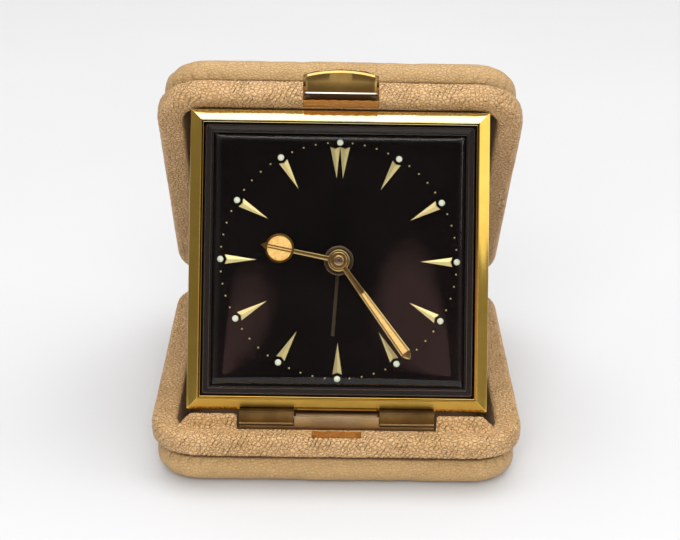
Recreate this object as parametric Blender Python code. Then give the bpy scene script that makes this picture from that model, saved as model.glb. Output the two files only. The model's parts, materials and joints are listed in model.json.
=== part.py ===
"""Folding travel alarm clock in a leather-covered clamshell.

Frame: +X right, +Y back, +Z up, origin in the middle of the lower cover's
flat underside.  Everything is laid out in millimetres with the lid shut and
the clock folded flat, dial up, and then hung on two empties on the hinge axes,
which turn the lid and the clock to their standing position.
"""
import math
from typing import NamedTuple

import bpy
import bmesh
from mathutils import Matrix, Vector
from mathutils.geometry import tessellate_polygon

# ------------------------------------------------------------ main dimensions
MM = 0.001
RIM_Z = 14.0                        # mating plane of the two halves
RIM_LOW = 8.5                       # underside of the lower rim
RIM_X, RIM_Y = 44.8, 44.4           # half sizes of the leather rim
RIM_CORNER = 12.0
COVER_X, COVER_Y = 42.9, 42.6       # half sizes of a cover
COVER_CORNER = 11.0
COVER_TOP = 8.2                     # top of the lower cover, under the rim
COVER_FLOOR = 1.2
WALL_X, WALL_BACK, WALL_FRONT = 38.2, 38.3, -39.6   # inner faces of the collar
LINING_Y = -0.65                    # middle of the linings

LID_AXIS = (0.0, 45.9, RIM_Z)
LID_ANGLE = 53.0                    # lid opened from shut, at rest
LID_LEAF_X = 30.2                   # half length of the lid hinge
CLOCK_AXIS = (0.0, -38.0, 16.1)
CLOCK_ANGLE = 65.1                  # clock raised from flat, at rest
BRACKET_X = 22.8                    # half length of the clock hinge bracket
KNUCKLE_R = 1.0                     # clock hinge knuckles
KNUCKLE_X = 9.75                    # half length of the middle knuckle

DIAL_SEAT_Z = 13.25
DIAL_Y = -0.4                       # hand axis
BEZEL = 35.9                        # half sizes of the square clock parts
SURROUND = 32.2
DIAL = 31.9
CRYSTAL = 29.9
HOUSING = 33.4
PLATE = 28.0

# ------------------------------------------------------------------ materials
FINISHES = {  # name: (base colour, roughness, metallic)
    "leather": ((0.60, 0.36, 0.17), 0.55, 0.0),
    "suede": ((0.42, 0.22, 0.09), 0.95, 0.0),
    "gilt": ((0.83, 0.62, 0.22), 0.18, 1.0),
    "brass": ((0.72, 0.52, 0.22), 0.32, 1.0),
    "nickel": ((0.60, 0.57, 0.52), 0.25, 1.0),
    "steel": ((0.45, 0.45, 0.46), 0.30, 1.0),
    "black_enamel": ((0.012, 0.011, 0.011), 0.12, 0.0),
    "dark_bronze": ((0.13, 0.11, 0.09), 0.35, 1.0),
    "crystal": ((0.85, 0.87, 0.88), 0.03, 0.0),
}


def make_material(piece, finish):
    colour, roughness, metallic = FINISHES[finish]
    mat = bpy.data.materials.new(piece + "_" + finish)
    mat.use_nodes = True
    inputs = mat.node_tree.nodes["Principled BSDF"].inputs
    inputs["Base Color"].default_value = (*colour, 1.0)
    inputs["Roughness"].default_value = roughness
    inputs["Metallic"].default_value = metallic
    if finish == "crystal":
        inputs["Transmission Weight"].default_value = 1.0
    mat.diffuse_color = (*colour, 1.0)
    return mat


# -------------------------------------------------------------------- objects
for old in list(bpy.data.objects):
    bpy.data.objects.remove(old, do_unlink=True)


def link_object(name, data):
    obj = bpy.data.objects.new(name, data)
    bpy.context.scene.collection.objects.link(obj)
    return obj


def hinge_empty(name, axis, angle):
    obj = link_object(name, None)
    obj.empty_display_size = 0.01
    obj.location = Vector(axis) * MM
    obj.rotation_euler = (math.radians(angle), 0.0, 0.0)
    return obj


LID = hinge_empty("lid_hinge_axis", LID_AXIS, -LID_ANGLE)
CLOCK = hinge_empty("clock_hinge_axis", CLOCK_AXIS, CLOCK_ANGLE)


def add(name, bm, finish, parent=None, origin=(0.0, 0.0, 0.0)):
    """Turn a millimetre bmesh into the named object, its origin at `origin`."""
    bmesh.ops.recalc_face_normals(bm, faces=bm.faces[:])
    bmesh.ops.translate(bm, verts=bm.verts[:], vec=-Vector(origin))
    bmesh.ops.scale(bm, verts=bm.verts[:], vec=(MM, MM, MM))
    mesh = bpy.data.meshes.new(name)
    bm.to_mesh(mesh)
    bm.free()
    mesh.shade_smooth()
    mesh.set_sharp_from_angle(angle=math.radians(35.0))
    mesh.materials.append(make_material(name, finish))
    obj = link_object(name, mesh)
    obj.parent = parent
    base = parent.location if parent else Vector()
    obj.location = Vector(origin) * MM - base


# --------------------------------------------------------------- basic solids
def polar(centre, radius, angle):
    return (centre[0] + radius * math.cos(angle), centre[1] + radius * math.sin(angle))


def prism(outer, z0, z1, holes=()):
    """Straight-sided plate with holes, from z0 up to z1."""
    bm = bmesh.new()
    loops = [[Vector((x, y, 0.0)) for x, y in loop] for loop in (outer, *holes)]
    points = [p for loop in loops for p in loop]
    low = [bm.verts.new((p.x, p.y, z0)) for p in points]
    high = [bm.verts.new((p.x, p.y, z1)) for p in points]
    for a, b, c in tessellate_polygon(loops):
        bm.faces.new((low[a], low[b], low[c]))
        bm.faces.new((high[c], high[b], high[a]))
    start = 0
    for loop in loops:
        n = len(loop)
        for i in range(n):
            a, b = start + i, start + (i + 1) % n
            bm.faces.new((low[a], low[b], high[b], high[a]))
        start += n
    return bm


def box(x0, x1, y0, y1, z0, z1):
    return prism([(x0, y0), (x1, y0), (x1, y1), (x0, y1)], z0, z1)


def slab_x(outline_yz, x0, x1):
    """Outline in Y-Z pushed along X."""
    bm = prism(outline_yz, x0, x1)
    for v in bm.verts:
        v.co = Vector((v.co.z, v.co.x, v.co.y))
    return bm


def slab_y(outline_xz, y0, y1):
    """Outline in X-Z pushed along Y."""
    bm = prism(outline_xz, y0, y1)
    for v in bm.verts:
        v.co = Vector((v.co.x, v.co.z, v.co.y))
    return bm


def loft(rings, closed=False):
    """Skin a list of equal point rings; ends capped unless closed on itself."""
    bm = bmesh.new()
    rows = [[bm.verts.new(p) for p in ring] for ring in rings]
    n = len(rows[0])
    count = len(rows)
    for k in range(count if closed else count - 1):
        a, b = rows[k], rows[(k + 1) % count]
        for i in range(n):
            j = (i + 1) % n
            bm.faces.new((a[i], a[j], b[j], b[i]))
    if not closed:
        bm.faces.new(rows[0])
        bm.faces.new(list(reversed(rows[-1])))
    return bm


def lathe(profile, n, centre=(0.0, 0.0)):
    """Closed (radius, z) profile turned about the vertical through `centre`."""
    bm = bmesh.new()
    columns = []
    for radius, z in profile:
        if radius < 1e-6:
            columns.append([bm.verts.new((*centre, z))] * n)
        else:
            columns.append([bm.verts.new((*polar(centre, radius, 2 * math.pi * k / n), z))
                            for k in range(n)])
    count = len(profile)
    for i in range(count):
        after = (i + 1) % count
        a, b = columns[i], columns[after]
        a_on_axis, b_on_axis = profile[i][0] < 1e-6, profile[after][0] < 1e-6
        if a_on_axis and b_on_axis:
            continue
        for k in range(n):
            j = (k + 1) % n
            if a_on_axis:
                bm.faces.new((a[0], b[k], b[j]))
            elif b_on_axis:
                bm.faces.new((a[k], a[j], b[0]))
            else:
                bm.faces.new((a[k], a[j], b[j], b[k]))
    return bm


def rod_x(axis, radius, x0, x1):
    """Rod along X, on the line through the point `axis`."""
    bm = lathe([(0.0, x0), (radius, x0), (radius, x1), (0.0, x1)], 16)
    bmesh.ops.transform(bm, verts=bm.verts[:], matrix=Matrix.Rotation(math.radians(90), 4, "Y"))
    bmesh.ops.translate(bm, verts=bm.verts[:], vec=axis)
    return bm


def rounded_rect(half_x, half_y, radius, z, centre_y=0.0, steps=5):
    """Ring of points round a rectangle with rounded corners."""
    radius = max(min(radius, half_x - 0.1, half_y - 0.1), 0.05)
    ring = []
    for side_x, side_y, start in ((1, 1, 0), (-1, 1, 90), (-1, -1, 180), (1, -1, 270)):
        corner = (side_x * (half_x - radius), centre_y + side_y * (half_y - radius))
        for k in range(steps + 1):
            ring.append((*polar(corner, radius, math.radians(start + 90.0 * k / steps)), z))
    return ring


# ------------------------------------------------------------------- booleans
def temp_object(bm):
    bmesh.ops.recalc_face_normals(bm, faces=bm.faces[:])
    mesh = bpy.data.meshes.new("temp")
    bm.to_mesh(mesh)
    bm.free()
    return link_object("temp", mesh)


def combine(base, tools, operation):
    """Apply the tool bmeshes to the base one by one; the result is a clean bmesh."""
    body = temp_object(base)
    for tool in tools:
        other = temp_object(tool)
        mod = body.modifiers.new("join", "BOOLEAN")
        mod.operation = operation
        mod.solver = "EXACT"
        mod.object = other
        depsgraph = bpy.context.evaluated_depsgraph_get()
        depsgraph.update()
        mesh = bpy.data.meshes.new_from_object(body.evaluated_get(depsgraph))
        body.modifiers.remove(mod)
        body.data = mesh
        bpy.data.objects.remove(other, do_unlink=True)
    bm = bmesh.new()
    bm.from_mesh(body.data)
    bmesh.ops.remove_doubles(bm, verts=bm.verts[:], dist=1e-4)
    bmesh.ops.dissolve_degenerate(bm, dist=1e-5, edges=bm.edges[:])
    bpy.data.objects.remove(body, do_unlink=True)
    return bm


def union(base, *tools):
    return combine(base, tools, "UNION")


def cut(base, *tools):
    return combine(base, tools, "DIFFERENCE")


# ------------------------------------------------------------- leather halves
# The halves mirror each other in the mating plane; heights are the lower half's.
COVER_PROFILE = [  # (inset, z) up the outside
    (3.4, 0.0), (1.5, 0.55), (0.35, 1.9), (0.0, 4.2), (0.25, 6.2), (0.9, 7.6), (1.5, COVER_TOP)]
RIM_PROFILE = [  # (inset, z) up the rolled outer edge
    (1.6, RIM_LOW), (0.5, 8.9), (0.0, 10.2), (0.0, 12.4), (0.35, 13.3), (1.1, 13.85),
    (2.2, RIM_Z)]
COLLAR_PROFILE = [  # (outset in x, outset in y, corner radius, z) down inside, back up outside
    (0.7, 0.7, 6.7, RIM_Z), (0.15, 0.15, 6.2, 13.8), (0.0, 0.0, 6.0, 13.2), (0.0, 0.0, 6.0, 2.6),
    (1.35, 1.0, 7.0, 2.6), (1.35, 1.0, 7.0, RIM_LOW)]
RIDGE_PROFILE = [  # (y, z) of the two ridges on the front wall of the lower rim
    (-40.6, 12.6), (-40.6, 13.7), (-39.25, 14.1), (-38.75, 16.4), (-38.45, 17.1),
    (-37.9, 17.1), (-37.55, 16.5), (-37.4, 12.6)]
POCKET_OUTLINE = [  # (x, z) of the latch pocket in the front of the lid
    (-9.2, 13.0), (9.2, 13.0), (9.2, 22.2), (6.0, 23.3), (0.0, 23.9), (-6.0, 23.3), (-9.2, 22.2)]


def half_z(z, upper):
    return 2 * RIM_Z - z if upper else z


def cover(upper):
    """Padded tray: outer skin from the flat face, over the lip, down the inside."""
    rings = [rounded_rect(COVER_X - inset, COVER_Y - inset, COVER_CORNER - inset, half_z(z, upper))
             for inset, z in COVER_PROFILE]
    for z in (COVER_TOP, COVER_FLOOR):
        rings.append(rounded_rect(39.95, 40.45, 7.5, half_z(z, upper), -0.6))
    return loft(rings)


def rim(upper):
    """Rim with a rolled outer edge and a collar down inside the cover."""
    wall_y = (WALL_FRONT + WALL_BACK) / 2.0
    half_y = (WALL_BACK - WALL_FRONT) / 2.0
    rings = [rounded_rect(RIM_X - inset, RIM_Y - inset, RIM_CORNER - inset, half_z(z, upper))
             for inset, z in RIM_PROFILE]
    rings += [rounded_rect(WALL_X + out_x, half_y + out_y, radius, half_z(z, upper), wall_y)
              for out_x, out_y, radius, z in COLLAR_PROFILE]
    return loft(rings, closed=True)


def hinge_recess(upper):
    """Cutter for the lid hinge leaf at the back of a rim."""
    half_x = LID_LEAF_X + 0.4
    z0, z1 = sorted(half_z(z, upper) for z in (12.9, 14.6))
    return box(-half_x, half_x, 41.0, 46.0, z0, z1)


def lining(upper):
    levels = sorted(half_z(z, upper) for z in (1.5, 2.2))
    return loft([rounded_rect(39.3, 39.0, 6.8, z, LINING_Y) for z in levels])


def build_lower_half():
    ridge_inner, ridge_outer = 23.7, 35.0
    body = union(rim(False), slab_x(RIDGE_PROFILE, ridge_inner, ridge_outer),
                 slab_x(RIDGE_PROFILE, -ridge_outer, -ridge_inner))
    striker_slot = box(-5.8, 5.8, -42.1, -40.5, 11.0, 15.0)
    add("lower_rim", cut(body, hinge_recess(False), striker_slot), "leather")
    add("lower_cover", cover(False), "leather")
    add("lower_lining", lining(False), "suede")
    striker = cut(box(-5.45, 5.45, -41.75, -40.85, 11.3, 12.5),
                  box(-3.4, 3.4, -41.45, -41.15, 11.0, 13.0))
    add("latch_striker", striker, "brass")


def build_upper_half():
    latch_ledge = box(-9.2, 9.2, -43.0, -40.7, 13.0, 14.75)
    body = cut(rim(True), hinge_recess(True), slab_y(POCKET_OUTLINE, -46.0, -41.5), latch_ledge)
    add("upper_rim", body, "leather", LID, (0.0, RIM_Y, RIM_Z))
    body = cut(cover(True), slab_y(POCKET_OUTLINE, -46.0, -41.75))
    add("upper_cover", body, "leather", LID, (0.0, COVER_Y, 20.0))
    add("upper_lining", lining(True), "suede", LID, (0.0, LINING_Y, 26.0))


# ------------------------------------------------------------------ lid hinge
def lid_leaf(upper, barrels):
    """Leaf with barrels over the given x spans, its back edge cut back between them."""
    z0, z1 = sorted(half_z(z, upper) for z in (13.2, 13.7))
    edges = [-LID_LEAF_X, *(x for span in barrels for x in span), LID_LEAF_X]
    notches = []
    for start, end in zip(edges[::2], edges[1::2]):
        if end > start:
            # a notch at a leaf end runs past it
            x0 = start - (1.0 if start == -LID_LEAF_X else 0.0)
            x1 = end + (1.0 if end == LID_LEAF_X else 0.0)
            notches.append(box(x0, x1, 44.35, 46.0, z0 - 1, z1 + 1))
    leaf = cut(box(-LID_LEAF_X, LID_LEAF_X, 41.4, 45.12, z0, z1), *notches)
    leaf = union(leaf, *[rod_x(LID_AXIS, 1.2, x0, x1) for x0, x1 in barrels])
    return cut(leaf, rod_x(LID_AXIS, 0.75, -31.0, 31.0))


def build_lid_hinge():
    lower_barrels = [(-LID_LEAF_X, -18.2), (-6.0, 6.0), (18.2, LID_LEAF_X)]
    upper_barrels = [(-17.9, -6.3), (6.3, 17.9)]
    add("case_hinge_lower_leaf", lid_leaf(False, lower_barrels), "nickel")
    add("case_hinge_upper_leaf", lid_leaf(True, upper_barrels), "nickel", LID, LID_AXIS)
    add("case_hinge_pin", rod_x(LID_AXIS, 0.45, -LID_LEAF_X, LID_LEAF_X), "steel")


# ---------------------------------------------------------------- clock hinge
def pin_bore():
    return rod_x(CLOCK_AXIS, 0.68, -24.0, 24.0)


def clock_hinge_leaf():
    """Plate on the inner face of the front wall, with the middle knuckle."""
    half_x, bottom, shoulder, top = 23.2, 5.0, 14.85, 16.7
    outline = [(-half_x, bottom), (half_x, bottom), (half_x, shoulder), (KNUCKLE_X, shoulder),
               (KNUCKLE_X, top), (-KNUCKLE_X, top), (-KNUCKLE_X, shoulder), (-half_x, shoulder)]
    leaf = union(slab_y(outline, -39.25, -38.75),
                 rod_x(CLOCK_AXIS, KNUCKLE_R, -KNUCKLE_X, KNUCKLE_X))
    return cut(leaf, pin_bore())


def clock_hinge_bracket():
    """Strip under the clock with an upright and a knuckle at each side."""
    front, low, inner_x = -37.5, 11.95, 10.1
    bracket = box(-BRACKET_X, BRACKET_X, front, -34.3, low, 12.4)
    for x0, x1 in ((inner_x, BRACKET_X), (-BRACKET_X, -inner_x)):
        bracket = union(bracket, box(x0, x1, front, -37.05, low, 16.6),
                        rod_x(CLOCK_AXIS, KNUCKLE_R, x0, x1))
    return cut(bracket, pin_bore())


def build_clock_hinge():
    add("clock_hinge_leaf", clock_hinge_leaf(), "nickel")
    pin = rod_x(CLOCK_AXIS, 0.38, -BRACKET_X, BRACKET_X)
    add("clock_hinge_pin", pin, "steel", CLOCK, CLOCK_AXIS)
    add("clock_hinge_bracket", clock_hinge_bracket(), "gilt", CLOCK, CLOCK_AXIS)


# ----------------------------------------------------------- latch in the lid
def latch_button():
    """Button with a shallow elliptical top."""
    half_x, bottom, shoulder, rise = 8.2, 17.95, 21.9, 1.2
    outline = [(-half_x, bottom), (half_x, bottom), (half_x, shoulder)]
    for degrees in range(15, 180, 15):
        a = math.radians(degrees)
        outline.append((half_x * math.cos(a), shoulder + rise * math.sin(a)))
    outline.append((-half_x, shoulder))
    return slab_y(outline, -45.3, -43.8)


def build_latch():
    half_x = 8.8
    plate = union(box(-half_x, half_x, -44.75, -44.3, 14.35, 17.5),
                  box(-half_x, half_x, -44.5, -41.1, 14.35, 14.65))
    plate = cut(plate, box(-3.0, 3.0, -43.6, -41.6, 13.0, 15.5))
    add("latch_plate", plate, "nickel", LID, (0.0, -44.4, 15.0))
    add("latch_button", latch_button(), "gilt", LID, (0.0, -44.5, 20.0))
    front, back = -43.4, -42.9
    hook = union(box(-2.3, 2.3, front, back, 14.9, 18.9), box(-1.7, 1.7, front, back, 14.2, 15.0))
    add("latch_hook", hook, "steel", LID, (0.0, -43.1, 16.5))


# --------------------------------------------------------- clock-face helpers
# Clock parts are placed by (u, v) on the face, u right and v towards twelve,
# and by height above the dial seat; all `at`, `low` and `high` are in these.
CENTRE = (0.0, 0.0)


def face(u, v):
    return (u, DIAL_Y + v)


def level(height):
    return DIAL_SEAT_Z + height


def add_clock(name, bm, finish, height, at=CENTRE):
    add(name, bm, finish, CLOCK, (*face(*at), level(height)))


def circle(at, radius, n):
    return [polar(face(*at), radius, 2 * math.pi * k / n) for k in range(n)]


def square(half):
    return [(-half, DIAL_Y - half), (half, DIAL_Y - half),
            (half, DIAL_Y + half), (-half, DIAL_Y + half)]


def corners(half):
    return [(half, half), (-half, half), (-half, -half), (half, -half)]


def sheet(outline, low, high, holes=()):
    """Flat part between two levels; its outlines are already in x, y."""
    return prism(outline, level(low), level(high), holes)


def turned(at, profile, n):
    """(radius, height) profile turned about `at`."""
    return lathe([(radius, level(height)) for radius, height in profile], n, face(*at))


def shaft(at, radius, low, high, n=12):
    return turned(at, [(0.0, low), (radius, low), (radius, high), (0.0, high)], n)


def tube(at, inner, outer, low, high, n):
    return turned(at, [(inner, low), (outer, low), (outer, high), (inner, high)], n)


def block(at, half_u, half_v, low, high):
    x, y = face(*at)
    return box(x - half_u, x + half_u, y - half_v, y + half_v, level(low), level(high))


def bar(start, end, half_width, low, high):
    """Straight bar between two points of the face."""
    x0, y0 = face(*start)
    x1, y1 = face(*end)
    a = math.atan2(y1 - y0, x1 - x0)
    dx, dy = -math.sin(a) * half_width, math.cos(a) * half_width
    return sheet([(x0 + dx, y0 + dy), (x0 - dx, y0 - dy), (x1 - dx, y1 - dy), (x1 + dx, y1 + dy)],
                 low, high)


def coil(at, start_radius, end_radius, turns, thick, low, high):
    """Flat spiral spring."""
    n = turns * 14
    inner, outer = [], []
    for k in range(n + 1):
        a = 2 * math.pi * turns * k / n
        radius = start_radius + (end_radius - start_radius) * k / n
        inner.append(polar(face(*at), radius - thick / 2, a))
        outer.append(polar(face(*at), radius + thick / 2, a))
    bm = bmesh.new()
    rows = [[bm.verts.new((*p, level(height))) for p in points]
            for points, height in ((inner, low), (outer, low), (outer, high), (inner, high))]
    for k in range(n):
        for i in range(4):
            a, b = rows[i], rows[(i + 1) % 4]
            bm.faces.new((a[k], a[k + 1], b[k + 1], b[k]))
    for k in (0, n):
        bm.faces.new([row[k] for row in rows])
    return bm


# ------------------------------------------------------------------ positions
BARREL, THIRD, FOURTH = (-12.12, -7.0), (6.3, 10.91), (1.2, 19.74)
ESCAPE, PALLET, BALANCE = (-7.05, 19.74), (-12.6, 16.6), (-18.6, 10.6)
ALARM_BARREL, ALARM_SET, MINUTE = (15.0, -15.0), (12.17, -3.26), (3.6, -6.235)
HAMMER = (25.2, 4.2)
STOP = (6.0, 25.0)
PILLARS = corners(25.0)
SCREWS = corners(29.5)

# (low, high) of the wheel layers between the plates, front to rear
LAYER_A, LAYER_B, LAYER_C, LAYER_D = (-3.9, -3.5), (-4.8, -4.4), (-5.7, -5.3), (-6.6, -6.2)
FRONT_PIVOT, REAR_PIVOT = -3.4, -6.9    # ends of the train arbors
ALARM_MODULE, ALARM_BARREL_TEETH, ALARM_PINION_TEETH = 0.35, 48, 8
ALARM_ESCAPE = polar(ALARM_BARREL, (ALARM_BARREL_TEETH + ALARM_PINION_TEETH) * ALARM_MODULE / 2,
                     math.radians(50))


# ---------------------------------------------------------------------- gears
class Gear(NamedTuple):
    """Plain wheel with pointed teeth; `phase` is the bearing of one tooth."""
    at: tuple
    teeth: int
    module: float
    low: float
    high: float
    phase: float = 0.0
    bore: float = 0.0


def meshed(driver, driven):
    """The driven gear turned so that its gaps face the driver's teeth."""
    bearing = math.atan2(driven.at[1] - driver.at[1], driven.at[0] - driver.at[0])
    offset = ((bearing - driver.phase) * driver.teeth / (2 * math.pi)) % 1.0
    phase = bearing + math.pi + (offset - 0.5) * 2 * math.pi / driven.teeth
    return driven._replace(phase=phase)


def cut_gear(gear):
    """Solid of a gear."""
    radius = gear.teeth * gear.module / 2.0
    centre = face(*gear.at)
    outline = []
    for k in range(gear.teeth):
        a = gear.phase + 2 * math.pi * k / gear.teeth
        outline.append(polar(centre, radius + 0.25 * gear.module, a))
        a += math.pi / gear.teeth
        outline.append(polar(centre, radius - 0.9 * gear.module, a))
    holes = [circle(gear.at, gear.bore, 12)] if gear.bore else []
    return sheet(outline, gear.low, gear.high, holes)


# going train
CENTRE_PINION = Gear(CENTRE, 10, 0.4, -6.6, -5.2, bore=0.9)
CENTRE_WHEEL = Gear(CENTRE, 64, 0.35, *LAYER_A, bore=0.9)
BARREL_WHEEL = meshed(CENTRE_PINION, Gear(BARREL, 60, 0.4, *LAYER_D, bore=1.6))
THIRD_PINION = meshed(CENTRE_WHEEL, Gear(THIRD, 8, 0.35, -4.05, -3.45))
THIRD_WHEEL = Gear(THIRD, 60, 0.3, *LAYER_C, phase=THIRD_PINION.phase)
FOURTH_PINION = meshed(THIRD_WHEEL, Gear(FOURTH, 8, 0.3, -5.8, -5.2))
FOURTH_WHEEL = Gear(FOURTH, 60, 0.25, *LAYER_B, phase=FOURTH_PINION.phase)
ESCAPE_PINION = meshed(FOURTH_WHEEL, Gear(ESCAPE, 6, 0.25, -4.9, -4.3))
# alarm train
ALARM_BARREL_WHEEL = Gear(ALARM_BARREL, ALARM_BARREL_TEETH, ALARM_MODULE, *LAYER_D,
                          phase=math.radians(3.0), bore=1.6)
ALARM_PINION = meshed(ALARM_BARREL_WHEEL,
                      Gear(ALARM_ESCAPE, ALARM_PINION_TEETH, ALARM_MODULE, -6.7, -6.1))
ALARM_ESCAPE_WHEEL = Gear(ALARM_ESCAPE, 18, 0.45, *LAYER_A)
# motion work under the dial
HANDS_PINION = Gear(CENTRE, 12, 0.3, -2.0, -1.55)
MINUTE_WHEEL = meshed(HANDS_PINION, Gear(MINUTE, 36, 0.3, -1.95, -1.6, bore=0.6))
MINUTE_PINION = Gear(MINUTE, 10, 0.288, -1.75, -0.85, phase=MINUTE_WHEEL.phase, bore=0.6)
HOUR_WHEEL = meshed(MINUTE_PINION, Gear(CENTRE, 40, 0.288, -1.2, -0.9, bore=0.8))
ALARM_WHEEL = Gear(CENTRE, 60, 0.35, -0.68, -0.35, bore=1.3)
SET_PINION = meshed(ALARM_WHEEL, Gear(ALARM_SET, 12, 0.35, -0.75, -0.3))
# toothed knobs behind the rear cover
ALARM_SET_KNOB = Gear(ALARM_SET, 18, 0.27, -10.5, -9.2)
HAND_SET_KNOB = Gear(CENTRE, 24, 0.28, -10.5, -9.2)


# ---------------------------------------------------------------- clock shell
BEZEL_PROFILE = [  # (inset, height)
    (0.0, -0.5), (0.0, 1.8), (0.55, 2.5), (2.55, 4.4), (2.95, 4.5), (3.3, 4.4), (3.3, -0.5)]
SURROUND_PROFILE = [  # (inset, height)
    (0.0, 0.8), (0.0, 3.5), (0.5, 3.6), (1.3, 3.0), (1.9, 2.6), (1.9, 1.5), (1.5, 0.8)]


def square_frame(half, profile, corner):
    return loft([rounded_rect(half - inset, half - inset, corner, level(height), DIAL_Y, 1)
                 for inset, height in profile], closed=True)


def crystal():
    """Domed square pane: an under and an upper grid joined round the edge."""
    n, edge_height, dome, thick = 10, 2.5, 1.7, 0.9
    bm = bmesh.new()
    grids = []
    for lift in (0.0, thick):
        grid = []
        for i in range(n + 1):
            row = []
            for j in range(n + 1):
                s, t = -1 + 2 * i / n, -1 + 2 * j / n
                height = edge_height + dome * (1 - s ** 4) * (1 - t ** 4) + lift
                row.append(bm.verts.new((*face(CRYSTAL * s, CRYSTAL * t), level(height))))
            grid.append(row)
        grids.append(grid)
    for grid in grids:
        for i in range(n):
            for j in range(n):
                bm.faces.new((grid[i][j], grid[i + 1][j], grid[i + 1][j + 1], grid[i][j + 1]))
    under, upper = grids
    for k in range(n):
        for (i, j), (p, q) in (((k, 0), (k + 1, 0)), ((k, n), (k + 1, n)),
                               ((0, k), (0, k + 1)), ((n, k), (n, k + 1))):
            bm.faces.new((under[i][j], under[p][q], upper[p][q], upper[i][j]))
    return bm


def hour_dart(hour, half_width, shift):
    """Triangle pointing to the centre, shifted sideways from its radius."""
    a = math.radians(90 - 30 * hour)
    cos, sin = math.cos(a), math.sin(a)
    outline = []
    for radius, across in ((27.3, -half_width), (27.3, half_width), (19.8, 0.0)):
        side = across + shift
        outline.append((cos * radius - sin * side, DIAL_Y + sin * radius + cos * side))
    return sheet(outline, 0.2, 0.62)


def dial():
    """Plate with raised hour darts, a pair of narrower ones at twelve."""
    darts = [hour_dart(hour, 1.0, 0.0) for hour in range(1, 12)]
    darts += [hour_dart(12, 0.8, shift) for shift in (-1.35, 1.35)]
    return union(sheet(square(DIAL), 0.0, 0.4, [circle(CENTRE, 1.8, 24)]), *darts)


def build_shell():
    add_clock("bezel", square_frame(BEZEL, BEZEL_PROFILE, 0.7), "gilt", 0)
    add_clock("dial_surround", square_frame(SURROUND, SURROUND_PROFILE, 0.8), "dark_bronze", 0)
    add_clock("crystal", crystal(), "crystal", 3)
    add_clock("dial", dial(), "black_enamel", 0)
    housing = sheet(square(HOUSING), -8.0, -0.8, [square(HOUSING - 0.8)])
    add_clock("clock_housing", housing, "nickel", -4)


# ----------------------------------------------------- plates and rear cover
def rear_holes():
    """Holes shared by the rear plate and the rear cover."""
    return [circle(CENTRE, 0.9, 12), circle(BARREL, 1.6, 14), circle(ALARM_BARREL, 1.6, 14),
            circle(ALARM_SET, 0.85, 12)]


def front_plate():
    """Front plate with the minute wheel's post and the four pillars."""
    holes = [circle(CENTRE, 1.1, 12), circle(ALARM_SET, 0.85, 12)]
    return union(sheet(square(PLATE), -3.1, -2.4, holes), shaft(MINUTE, 0.3, -2.6, -0.9, 10),
                 *[shaft(at, 1.3, -2.8, -6.9) for at in PILLARS])


def rear_screw(at):
    head = turned(at, [(0, -8.0), (0.6, -8.0), (0.6, -9.1), (1.4, -9.1), (1.25, -9.55),
                       (0, -9.55)], 14)
    return cut(head, block(at, 2, 0.17, -9.8, -9.38))


def build_plates():
    add_clock("front_plate", front_plate(), "brass", -2.4)
    plate = sheet(square(PLATE), -7.8, -7.2, rear_holes() + [circle(BALANCE, 0.9, 12)])
    add_clock("rear_plate", plate, "brass", -7.5)
    screw_holes = [circle(at, 0.95, 12) for at in SCREWS]
    rear_cover = sheet(square(HOUSING), -8.8, -8.3, rear_holes() + screw_holes)
    add_clock("rear_cover", rear_cover, "nickel", -8.5)
    for i, at in enumerate(SCREWS, 1):
        add_clock("rear_screw_%d" % i, rear_screw(at), "steel", -9, at)


# ---------------------------------------------------------------- going train
def train_arbor(at, radius):
    return shaft(at, radius, REAR_PIVOT, FRONT_PIVOT)


def centre_arbor():
    """The hands' arbor, right through the clock, with a cap over the hands."""
    cap = turned(CENTRE, [(0, 2.2), (0.95, 2.2), (0.8, 2.5), (0, 2.6)], 16)
    return union(shaft(CENTRE, 0.42, -8.9, 2.4), cut_gear(HANDS_PINION), cap)


def centre_wheel():
    """Wheel and pinion on a friction sleeve round the hands' arbor."""
    sleeve = tube(CENTRE, 0.72, 1.15, -6.65, -3.45, 16)
    return union(cut_gear(CENTRE_WHEEL), cut_gear(CENTRE_PINION), sleeve)


def spring_drum(gear, inner, outer, n):
    """Barrel: toothed wheel with the drum wall on it."""
    return union(cut_gear(gear), tube(gear.at, inner, outer, -6.3, -4.5, n))


def mainspring(at, end_radius, turns, thick):
    return coil(at, 2.1, end_radius, turns, thick, -5.85, -4.7)


def wheel_and_pinion(pinion, wheel):
    return union(train_arbor(pinion.at, 0.35), cut_gear(pinion), cut_gear(wheel))


def escape_wheel():
    centre = face(*ESCAPE)
    outline = []
    for k in range(15):
        a = ESCAPE_PINION.phase + 2 * math.pi * k / 15
        outline += [polar(centre, 3.8, a), polar(centre, 2.9, a + 0.09),
                    polar(centre, 2.8, a + 0.25)]
    return union(train_arbor(ESCAPE, 0.32), cut_gear(ESCAPE_PINION), sheet(outline, *LAYER_C))


def pallet_lever():
    """Two arms astride the line to the escape wheel, a third towards the balance."""
    to_escape = math.atan2(ESCAPE[1] - PALLET[1], ESCAPE[0] - PALLET[0])
    to_balance = math.atan2(BALANCE[1] - PALLET[1], BALANCE[0] - PALLET[0])
    arms = [bar(PALLET, polar(PALLET, 3.0, to_escape + side * math.radians(46)),
                0.35, -5.65, -5.35) for side in (1, -1)]
    arms.append(bar(PALLET, polar(PALLET, 3.4, to_balance), 0.3, -5.63, -5.37))
    return union(shaft(PALLET, 0.45, REAR_PIVOT, -4.6), *arms)


def balance_wheel():
    u, v = BALANCE
    return union(tube(BALANCE, 5.7, 6.4, -3.95, -3.45, 32),
                 bar((u - 6.0, v), (u + 6.0, v), 0.4, -3.85, -3.55),
                 shaft(BALANCE, 0.4, REAR_PIVOT, -3.45))


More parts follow.
